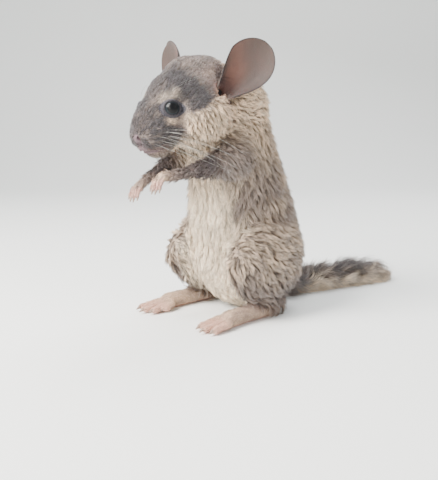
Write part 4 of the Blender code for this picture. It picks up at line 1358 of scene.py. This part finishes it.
class Nodes:
    """A material's nodes, added one at a time."""

    def __init__(self, name):
        self.material = bpy.data.materials.new(name)
        self.material.use_nodes = True
        self.tree = self.material.node_tree
        self.shader = self.tree.nodes["Principled BSDF"]

    def put(self, socket, value):
        if isinstance(value, bpy.types.NodeSocket):
            self.tree.links.new(value, socket)
        else:
            socket.default_value = value

    def add(self, kind, inputs, **settings):
        node = self.tree.nodes.new(kind)
        for key, value in settings.items():
            setattr(node, key, value)
        for key, value in inputs.items():
            self.put(node.inputs[key], value)
        return node

    def channels(self, name):
        source = self.add("ShaderNodeAttribute", {}, attribute_name=name)
        return self.add("ShaderNodeSeparateXYZ", {0: source.outputs["Vector"]}).outputs

    def mix(self, factor, a, b, blend="MIX"):
        node = self.add("ShaderNodeMix", {0: factor, 6: a, 7: b}, data_type="RGBA", blend_type=blend)
        return node.outputs[2]

    def math(self, operation, *values, clamp=False):
        inputs = dict(enumerate(values))
        return self.add("ShaderNodeMath", inputs, operation=operation, use_clamp=clamp).outputs[0]

    def times(self, a, b):
        return self.math("MULTIPLY", a, b)

    def ramp(self, value, low, high):
        """0 below low and 1 above high."""
        node = self.add("ShaderNodeMapRange", {0: value, 1: low, 2: high}, interpolation_type="SMOOTHSTEP")
        return node.outputs[0]

    def noise(self, scale, detail=3.0, stretch=(1, 1, 1)):
        place = self.add("ShaderNodeTexCoord", {}).outputs["Object"]
        place = self.add("ShaderNodeMapping", {0: place, 3: stretch}).outputs[0]
        return self.add("ShaderNodeTexNoise", {"Vector": place, "Scale": scale, "Detail": detail}).outputs[0]

    def bump(self, height, distance, strength=1.0):
        node = self.add("ShaderNodeBump", {"Height": height, "Distance": distance, "Strength": strength})
        self.put(self.shader.inputs["Normal"], node.outputs[0])

    def finish(self, colour, roughness, **constants):
        self.put(self.shader.inputs["Base Color"], colour)
        self.put(self.shader.inputs["Roughness"], roughness)
        for name, value in constants.items():
            self.shader.inputs[name.replace("_", " ")].default_value = value
        return self.material


def srgb(*levels):
    """A colour as a picture gives it, 0 to 255, made linear."""
    shares = [level / 255 for level in levels]
    return (*[s / 12.92 if s <= 0.04045 else ((s + 0.055) / 1.055) ** 2.4 for s in shares], 1)


# The palette. A name in the plural holds the two ends of an uneven shade.
BEIGE = srgb(232, 205, 175)
GREY = srgb(139, 123, 114)
SLATE = srgb(67, 62, 65)
CREAM = srgb(255, 238, 213)
# The roots' colour: the dark under-fur, which also stands for painted shade in the gaps of the coat.
UNDERFUR_AND_GAP_SHADE = srgb(84, 71, 63)
ROSE = srgb(214, 160, 148)
NOSE_MAUVES = srgb(84, 69, 75), srgb(108, 90, 94)
LID_GREYS = srgb(50, 48, 53), srgb(72, 70, 77)
# Painted shade in holes and clefts.
HOLLOW_SHADE = srgb(24, 18, 18)
IRIS_GREYS = srgb(23, 27, 30), srgb(34, 39, 43)
PUPIL = srgb(12, 12, 14)
IRIS_EDGE = srgb(10, 9, 10)
EAR_BACKS = srgb(110, 92, 82), srgb(92, 76, 69)
EAR_ROSES = srgb(84, 56, 50), srgb(106, 74, 64)
EAR_TIP = srgb(71, 58, 53)
# Painted shade deep in the low hind part of the ear's cup.
EAR_HIND_SHADE = srgb(56, 44, 40)
# The ear's low front edge: partly its own darker skin, partly painted shade over the lit fold.
EAR_FRONT_EDGE = srgb(62, 52, 47)
EAR_BLOTCH = srgb(76, 58, 54)
# Painted shade in the creases at the front of the ear's base.
EAR_CREASE = srgb(40, 27, 26)
# The ear canal's dark: painted shade of a hole.
EAR_HOLE_SHADE = srgb(20, 15, 15)
EAR_RIM = srgb(36, 29, 30)
CLAW_HORNS = srgb(120, 100, 90), srgb(176, 152, 136)
WHISKER_PALES = srgb(120, 112, 108), srgb(250, 246, 238)
WHISKER_DARK = srgb(60, 52, 48)
FLOOR_WHITES = srgb(241, 243, 240), srgb(246, 247, 245)


def marked_colour(nodes, share, tone, depth):
    """The colour of skin and coat alike, from the markings and the place between root and tip, darkened
    towards the root as real dark under-fur and as painted shade deep in the coat.
    """
    cream, slate, rose = nodes.channels("zones")
    patches = nodes.noise(60, 2.0)
    uneven = nodes.math("MULTIPLY_ADD", patches, 0.3, -0.15)
    slate = nodes.math("ADD", slate, nodes.times(uneven, slate), clamp=True)
    coat = nodes.mix(nodes.ramp(slate, 0.0, 0.55), BEIGE, GREY)
    coat = nodes.mix(nodes.ramp(slate, 0.5, 1.0), coat, SLATE)
    coat = nodes.mix(cream, coat, CREAM)
    # Towards the root the colour darkens to the under-fur's: the coat's real dark under-fur and painted shade
    # deep between the tufts.
    root = nodes.times(nodes.ramp(share, 0.62, 0.12), depth)
    coat = nodes.mix(root, coat, UNDERFUR_AND_GAP_SHADE)
    light = nodes.math("MULTIPLY_ADD", tone, 0.75, 0.62)
    light = nodes.add("ShaderNodeCombineColor", {0: light, 1: light, 2: light}).outputs[0]
    coat = nodes.mix(1.0, coat, light, "MULTIPLY")
    return nodes.mix(nodes.times(rose, 0.8), coat, ROSE)


def coat_material():
    nodes = Nodes("coat")
    share, tone, depth = nodes.channels("strand")
    colour = marked_colour(nodes, share, tone, depth)
    return nodes.finish(colour, 0.62, Sheen_Weight=0.25, Sheen_Roughness=0.5, Specular_IOR_Level=0.25)


def skin_material():
    nodes = Nodes("skin")
    fine = nodes.noise(900, 4.0)
    # The skin takes part of the roots' darkening, painted shade included.
    colour = marked_colour(nodes, 0.35, fine, 0.6)
    lid, hollow_shade, mauve = nodes.channels("shades")
    colour = nodes.mix(mauve, colour, nodes.mix(fine, *NOSE_MAUVES))
    colour = nodes.mix(lid, colour, nodes.mix(nodes.ramp(fine, 0.35, 0.65), *LID_GREYS))
    # Painted shade where the skin dips into holes and clefts.
    colour = nodes.mix(hollow_shade, colour, HOLLOW_SHADE)
    nodes.bump(fine, 0.0006, 0.6)
    return nodes.finish(colour, 0.7, Specular_IOR_Level=0.3)


def eye_material():
    nodes = Nodes("eye")
    ring = nodes.channels("ring")[0]
    iris = nodes.mix(nodes.noise(700, 2.0), *IRIS_GREYS)
    colour = nodes.mix(nodes.ramp(ring, 0.50, 0.58), PUPIL, iris)
    colour = nodes.mix(nodes.ramp(ring, 0.70, 0.78), colour, IRIS_EDGE)
    return nodes.finish(
        colour, 0.3, Specular_IOR_Level=0.1, Coat_Weight=0.25, Coat_Roughness=0.02, Coat_IOR=1.36
    )


def ear_material():
    nodes = Nodes("ear_skin")
    along, inside, edge = nodes.channels("ear")
    across, crease, canal = nodes.channels("ear_across")
    blotches = nodes.noise(160, 4.0)
    veins = nodes.noise(500, 3.0, (1, 1, 0.25))
    low = nodes.ramp(nodes.math("ADD", along, nodes.times(across, 0.3)), 0.72, 0.2)
    rosy = nodes.mix(nodes.ramp(along, 0.1, 0.35), *EAR_ROSES)
    bare = nodes.mix(low, EAR_TIP, rosy)
    # The low hind part of the cup is darkened: painted shade deep in the cup.
    behind = nodes.times(nodes.ramp(across, -0.1, 0.5), nodes.ramp(along, 0.9, 0.45))
    bare = nodes.mix(nodes.times(behind, 0.85), bare, EAR_HIND_SHADE)
    # The front edge low on the ear darkens: partly its own darker skin, partly painted shade over its lit
    # fold.
    strip = nodes.times(nodes.ramp(across, -0.4, -0.95), nodes.ramp(along, 0.75, 0.25))
    outer = nodes.mix(nodes.ramp(blotches, 0.3, 0.7), *EAR_BACKS)
    colour = nodes.mix(inside, outer, bare)
    colour = nodes.mix(nodes.times(strip, 0.9), colour, EAR_FRONT_EDGE)
    colour = nodes.mix(nodes.times(nodes.ramp(blotches, 0.42, 0.7), 0.4), colour, EAR_BLOTCH)
    # Painted shade in the creases at the front of the base.
    colour = nodes.mix(nodes.times(crease, 0.9), colour, EAR_CREASE)
    # The canal painted as a dark hole: painted shade.
    colour = nodes.mix(canal, colour, EAR_HOLE_SHADE)
    rim = nodes.times(edge, nodes.ramp(along, 0.02, 0.14))
    colour = nodes.mix(nodes.times(rim, 0.9), colour, EAR_RIM)
    nodes.bump(nodes.math("ADD", veins, nodes.noise(1800, 2.0)), 0.0005, 0.5)
    return nodes.finish(
        colour, 0.6, Sheen_Weight=0.1, Specular_IOR_Level=0.3, Subsurface_Weight=0.08, Subsurface_Scale=0.002
    )


def claw_material():
    nodes = Nodes("claw")
    colour = nodes.mix(nodes.noise(900, 2.0), *CLAW_HORNS)
    return nodes.finish(colour, 0.35)


def whisker_material():
    nodes = Nodes("whisker")
    along, dark, _ = nodes.channels("whisker")
    pale = nodes.mix(nodes.ramp(along, 0.05, 0.35), *WHISKER_PALES)
    colour = nodes.mix(dark, pale, WHISKER_DARK)
    return nodes.finish(colour, 0.35)


# ---------------------------------------------------------------- eyes, ears, claws, whiskers


def make_eyes(material):
    for name, side in SIDES.items():
        bm = bmesh.new()
        turn = eye_axis(side).to_track_quat("Z", "Y").to_matrix().to_4x4()
        bmesh.ops.create_uvsphere(bm, u_segments=48, v_segments=32, radius=EYE_RADIUS)
        rings = []
        for vert in bm.verts:
            across = math.hypot(vert.co.x, vert.co.y)
            if vert.co.z > 0:
                vert.co.z += CORNEA_RISE * max(0.0, 1 - (across / CORNEA_RADIUS) ** 2)
            rings.append(across / EYE_RADIUS if vert.co.z > 0 else 1.0)
        bmesh.ops.transform(bm, verts=bm.verts, matrix=Matrix.Translation(eye_centre(side)) @ turn)
        ring = np.repeat(np.array(rings)[:, None], 3, axis=1)
        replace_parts(smooth_piece(f"eyeball_{name}", bm, material, "eye", ring=ring), f"eye_{name}")


def ear_axes(side):
    rise = math.sqrt(EAR_LENGTH**2 - EAR_LEAN_OUT**2 - EAR_LEAN_BACK[side] ** 2)
    axis = at(side * EAR_LEAN_OUT, -EAR_LEAN_BACK[side], rise).normalized()
    facing = at(side * math.sin(EAR_FACING[side]), math.cos(EAR_FACING[side]), 0)
    facing = (facing - facing.dot(axis) * axis).normalized()
    return axis, facing, axis.cross(facing)


def ear_point(side, across, along):
    """A point of the cup's middle surface. across runs -1 to 1, along from the root 0 to the tip 1."""
    axis, facing, sideways = ear_axes(side)
    if along > EAR_WIDEST:
        half = EAR_WIDTH / 2 * math.sqrt(max(0.0, 1 - ((along - EAR_WIDEST) / (1 - EAR_WIDEST)) ** 2))
    else:
        rise = math.sin(math.pi / 2 * along / EAR_WIDEST)
        half = EAR_ROOT_HALF + (EAR_WIDTH / 2 - EAR_ROOT_HALF) * rise
    front = max(0.0, -side * across)
    half *= 1 - 0.3 * front**2 * max(0.0, 1 - along / 0.6)
    rolled = (1 - along) ** 2.2
    curl = EAR_CURLS[0] * rolled + EAR_CURLS[1] * (1 - rolled)
    bend_radius = max(half, 0.5) / curl
    angle = across * curl
    depth = bend_radius * (1 - math.cos(angle)) - 2.5 * math.sin(math.pi * along) + 1.5 * along**3
    root = in_head(side * EAR_ROOT[0], *EAR_ROOT[1:])
    return root + axis * (along * EAR_LENGTH) + sideways * bend_radius * math.sin(angle) + facing * depth


def ear_grid(side):
    """Places on the cup's middle surface from the root to the tip, with their along and across."""
    rows, columns = EAR_GRID
    grid = np.zeros((rows + 1, columns + 1, 3))
    alongs = np.zeros((rows + 1, columns + 1))
    acrosses = np.zeros((rows + 1, columns + 1))
    for row in range(rows + 1):
        along = -0.12 + 1.12 * math.sin(math.pi / 2 * row / rows)
        for column in range(columns + 1):
            across = math.sin(math.pi / 2 * (2 * column / columns - 1))
            sunk = min(along, 0) * EAR_LENGTH * (1 - 0.85 * across**2)
            grid[row, column] = ear_point(side, across, max(along, 0)) + at(0, 0, sunk)
            alongs[row, column] = max(along, 0)
            acrosses[row, column] = across
    return grid, alongs, acrosses


def grid_normals(grid, facing):
    """The normals of a grid of places, on the side that faces a way."""
    normals = unit(np.cross(np.gradient(grid, axis=1), np.gradient(grid, axis=0)))
    rows, columns = grid.shape[:2]
    if np.sum(normals[rows // 2, columns // 2] * facing) < 0:
        normals = -normals
    normals[-1] = normals[-2].mean(axis=0)
    return normals


def crease_share(side, alongs, acrosses):
    """1 in the creases at the front of the ear's base, falling to 0 beside them."""
    flat = np.stack([side * acrosses * EAR_WIDTH / 2, alongs * EAR_LENGTH, 0 * alongs], axis=2).reshape(-1, 3)
    creases = np.max([furrow(face_line(flat, *line), 0.62) for line in EAR_CREASES], axis=0)
    return (creases * (0.2 + 0.8 * step(-1, -11, flat[:, 0]))).reshape(acrosses.shape)


def closed_sheet(front, back):
    """A bmesh with two grids of places as its faces, and walls between their borders."""
    rows, columns = front.shape[:2]
    count = rows * columns
    index = np.arange(count).reshape(rows, columns)
    quads = np.stack([index[:-1, :-1], index[:-1, 1:], index[1:, 1:], index[1:, :-1]], axis=-1).reshape(-1, 4)
    border = np.concatenate([index[0, :-1], index[:-1, -1], index[-1, :0:-1], index[:0:-1, 0]])
    after = np.roll(border, -1)
    walls = np.stack([border, border + count, after + count, after], axis=1)
    bm = bmesh.new()
    verts = np.concatenate([front.reshape(-1, 3), back.reshape(-1, 3)])
    made = [bm.verts.new(vert) for vert in verts.tolist()]
    for quad in np.concatenate([quads, quads[:, ::-1] + count, walls]).tolist():
        bm.faces.new([made[i] for i in quad])
    bmesh.ops.recalc_face_normals(bm, faces=bm.faces)
    return bm


def make_ear(name, side, material):
    """A thin cup with a rounded rim, soft folds inside its base and its root sunk in the head."""
    grid, alongs, acrosses = ear_grid(side)
    places, shape = grid.reshape(-1, 3), alongs.shape
    normals = grid_normals(grid, np.array(ear_axes(side)[1]))
    rim = np.maximum(np.abs(acrosses), step(0.93, 1.0, alongs))
    thick = EAR_THICKNESS + (EAR_RIM_THICKNESS - EAR_THICKNESS) * rim**2
    thick = thick * np.sqrt(np.clip(1 - rim**14, 0.02, 1)) + 0.9 * (1 - alongs) ** 4
    folds = 0.25 * np.sin(acrosses * 15 + 5 * alongs) * (1 - alongs) ** 2 * (1 - rim**4)
    creases = crease_share(side, alongs, acrosses)
    fold_line = [in_head(side * across, ahead, above) for across, ahead, above in CANAL_FOLD]
    ridge = furrow(line_distance(places, fold_line).reshape(shape), 1.5)
    canal = step(0.05, 0.5, spot_share(places, side, EAR_CANAL)).reshape(shape)
    front = grid + normals * (thick / 2 + folds - 0.5 * creases + 1.1 * ridge - 0.6 * canal)[:, :, None]
    bm = closed_sheet(front, grid - normals * (thick / 2)[:, :, None])

    def on_both(values):
        return np.tile(values.ravel(), 2)

    def on_front(values):
        return np.concatenate([values.ravel(), np.zeros(values.size)])

    ear = np.stack([on_both(alongs), on_front(np.ones(shape)), on_both(step(0.92, 0.99, rim))], axis=1)
    # The second and third values mark the creases and the canal, which the ear's colour darkens with painted
    # shade.
    ear_across = np.stack([on_both(side * acrosses), on_front(creases), on_front(canal)], axis=1)
    made = smooth_piece(f"ear_skin_{name}", bm, material, "bare_skin", ear=ear, ear_across=ear_across)
    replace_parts(made, f"ear_{name}")


def make_claws(material):
    bm = bmesh.new()
    for claw in both_sides(foot_claws) + both_sides(forepaw_claws):
        add_form(bm, claw, detail=2)
    smooth_piece("claws", bm, material, "bare_skin")


def whisker_line(rng, skin, side, row, column):
    """Places along one whisker: out of the pad, then back and down past the cheek."""
    aim = in_head(side * (11 + column), 44 - 3.0 * column - 0.6 * row, -4 - 2.4 * row - 0.5 * column)
    root = skin.tree.find_nearest(aim)[0]
    length = WHISKERS[column][0] * rng.uniform(0.8, 1.1)
    start = at(side * rng.uniform(0.45, 0.7), -0.9, 0.12 - 0.13 * row + rng.uniform(-0.1, 0.1)).normalized()
    end = at(side * rng.uniform(0.3, 0.55), -0.9, rng.uniform(-0.85, -0.35)).normalized()
    places, place, count = [], root - 0.8 * start, 12
    for i in range(count + 1):
        places.append(place.copy())
        place = place + start.lerp(end, min(1.0, 1.2 * i / count)).normalized() * length / count
    return places


def brow_line(side, number):
    """Places along one of the hairs over an eye, which bends down and forward."""
    brow = in_head(side * (14 - number), 20 - 3 * number, 12 + number)
    way = at(side * 0.55, -0.45 - 0.1 * number, 0.7)
    return [brow + way * 2.6 * k + at(0, -0.1 * k * k, -0.06 * k * k) for k in range(9)]


def make_whiskers(skin, material):
    rng = np.random.default_rng([SEED, 100])
    bm = bmesh.new()
    marks = []
    for side in SIDES.values():
        lines = []
        for row in range(WHISKER_ROWS):
            for column, (_, radius) in enumerate(WHISKERS):
                lines.append((whisker_line(rng, skin, side, row, column), radius))
        for number in range(BROW_HAIRS):
            lines.append((brow_line(side, number), BROW_HAIR_RADIUS))
        for places, radius in lines:
            dark = float(rng.random() < 0.4)
            add_tube(bm, places, radius, dark, marks)
    smooth_piece("whiskers", bm, material, "fur", whisker=np.array(marks))


def add_tube(bm, places, radius, dark, marks):
    """A closed four-sided tube that tapers to a point."""
    count = len(places)
    rings = []
    for i, place in enumerate(places[:-1]):
        share = i / (count - 1)
        way = (places[i + 1] - place).normalized()
        aside = way.orthogonal().normalized()
        above = way.cross(aside)
        size = radius * (0.5 + 0.5 * min(1.0, 4 * share)) * (1 - 0.8 * share**2)
        ring = []
        for corner in range(4):
            angle = math.pi / 2 * corner
            ring.append(bm.verts.new(place + size * (math.cos(angle) * aside + math.sin(angle) * above)))
            marks.append((share, dark, 0))
        rings.append(ring)
    tip = bm.verts.new(places[-1])
    marks.append((1, dark, 0))
    bm.faces.new(rings[0][::-1])
    for low, high in zip(rings, rings[1:]):
        shift = min(range(4), key=lambda k: (high[k].co - low[0].co).length)
        for corner in range(4):
            after = (corner + 1) % 4
            bm.faces.new((low[corner], low[after], high[(after + shift) % 4], high[(corner + shift) % 4]))
    for corner in range(4):
        bm.faces.new((rings[-1][corner], rings[-1][(corner + 1) % 4], tip))


# ---------------------------------------------------------------- stage, light, camera


def towards(azimuth, elevation):
    """The way from the animal to where something stands; 0, 0 is straight in front of it."""
    level = math.cos(elevation)
    return Vector((math.sin(azimuth) * level, -math.cos(azimuth) * level, math.sin(elevation)))


def aimed(name, data, place, back):
    """An object at a place, that looks the opposite way to back."""
    obj = bpy.data.objects.new(name, data)
    obj.location = place
    obj.rotation_mode = "QUATERNION"
    obj.rotation_quaternion = back.to_track_quat("Z", "Y")
    bpy.context.scene.collection.objects.link(obj)
    return obj


def make_stage():
    """A pale floor that curves up into a backdrop on the side away from the camera."""
    nodes = Nodes("floor")
    colour = nodes.mix(nodes.noise(3, 2.0), *FLOOR_WHITES)
    material = nodes.finish(colour, 0.8)
    away = Vector((-math.sin(CAMERA_AZIMUTH), math.cos(CAMERA_AZIMUTH), 0))
    across = Vector((away.y, -away.x, 0))
    profile = [(-FLOOR_REACH, 0.0), (FLOOR_BEND_AT, 0.0)]
    for i in range(1, 13):
        angle = math.pi / 2 * i / 12
        profile.append((FLOOR_BEND_AT + FLOOR_BEND * math.sin(angle), FLOOR_BEND * (1 - math.cos(angle))))
    profile.append((FLOOR_BEND_AT + FLOOR_BEND, BACKDROP_HEIGHT))
    bm = bmesh.new()
    rows = []
    for reach, up in profile:
        middle = away * reach + Vector((0, 0, up))
        rows.append([bm.verts.new(middle + across * wide) for wide in (-FLOOR_REACH, FLOOR_REACH)])
    for low, high in zip(rows, rows[1:]):
        bm.faces.new((low[0], low[1], high[1], high[0]))
    bmesh.ops.recalc_face_normals(bm, faces=bm.faces)
    floor = new_object("floor", bm)
    floor.data.shade_smooth()
    floor.data.materials.append(material)


def make_light(name, azimuth, elevation, distance, size, power, colour):
    """A square soft light that looks at the animal's middle, in degrees, metres and watts."""
    light = bpy.data.lights.new(name, "AREA")
    light.energy = power
    light.size = size
    light.color = colour
    back = towards(math.radians(azimuth), math.radians(elevation))
    aimed(name, light, Vector((0, 0, 0.1)) + back * distance, back)


def make_lights():
    world = bpy.data.worlds.new("studio")
    world.use_nodes = True
    background = world.node_tree.nodes["Background"]
    background.inputs["Color"].default_value = (0.92, 0.96, 1.0, 1)
    background.inputs["Strength"].default_value = 0.78
    bpy.context.scene.world = world
    make_light("key", -12, 38, 1.0, 0.5, 30, (1.0, 0.96, 0.91))
    make_light("fill", 100, 25, 1.2, 0.9, 3, (1.0, 0.96, 0.92))
    make_light("front", 15, 13, 1.5, 0.6, 9.5, (1.0, 0.94, 0.86))
    make_light("spark", -14, 62, 0.9, 0.12, 4, (1.0, 1.0, 1.0))
    make_light("rim", 200, 50, 1.2, 0.6, 12, (0.97, 0.98, 1.0))


def make_camera():
    back = towards(CAMERA_AZIMUTH, CAMERA_ELEVATION)
    turn = back.to_track_quat("Z", "Y")
    right, up = turn @ Vector((1, 0, 0)), turn @ Vector((0, 1, 0))
    pupil = eye_centre(1) + 0.8 * EYE_RADIUS * eye_axis(1)
    across = (EYE_PIXEL[0] - PHOTO_WIDTH / 2) / PIXELS_PER_MM
    above = (PHOTO_HEIGHT / 2 - EYE_PIXEL[1]) / PIXELS_PER_MM
    distance = LENS / SENSOR * PHOTO_HEIGHT / PIXELS_PER_MM
    camera = bpy.data.cameras.new("camera")
    camera.lens = LENS
    camera.sensor_width = SENSOR
    place = (pupil - right * across - up * above + back * distance) * MM
    bpy.context.scene.camera = aimed("camera", camera, place, back)


# ---------------------------------------------------------------- the whole animal


def thin_out(body, furred):
    """Merges the skin's triangles where the coat, already grown, hides it."""
    group = body.vertex_groups.new(name="furred")
    group.add(np.flatnonzero(furred).tolist(), 1.0, "REPLACE")
    merge = body.modifiers.new("merge", "DECIMATE")
    merge.ratio = SKIN_TRIANGLES / len(body.data.polygons)
    merge.vertex_group = group.name
    bake(body)
    body.vertex_groups.clear()


def dress_skin(body, skin):
    """The skin as a piece of the scene, in metres, with the markings that the coat carries."""
    set_attribute(body.data, "zones", skin.zones)
    set_attribute(body.data, "shades", shades_of(skin.points, skin.shares))
    move_points(body.data, skin.points * MM)
    thin_out(body, skin.bare < 0.05)
    mesh = body.data
    mesh.materials.clear()
    mesh.materials.append(skin_material())
    mesh.update()
    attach(body, "root")
    flesh = ["torso", "neck", "head", "tail"]
    for part in ("haunch", "hind_foot", "foreleg", "forepaw"):
        flesh += [f"{part}_{name}" for name in SIDES]
    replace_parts(body, *flesh)


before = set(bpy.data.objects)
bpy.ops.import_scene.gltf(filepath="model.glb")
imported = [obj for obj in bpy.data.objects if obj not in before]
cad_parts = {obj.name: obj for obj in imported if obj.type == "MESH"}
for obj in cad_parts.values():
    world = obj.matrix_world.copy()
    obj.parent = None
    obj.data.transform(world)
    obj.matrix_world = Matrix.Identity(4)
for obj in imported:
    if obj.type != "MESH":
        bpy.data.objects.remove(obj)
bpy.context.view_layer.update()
make_camera()
body = make_skin()
skin = measured(body)
make_coat(skin, coat_material())
dress_skin(body, skin)
make_eyes(eye_material())
ear_finish = ear_material()
for side_name, side in SIDES.items():
    make_ear(side_name, side, ear_finish)
make_claws(claw_material())
make_whiskers(skin, whisker_material())
make_stage()
make_lights()
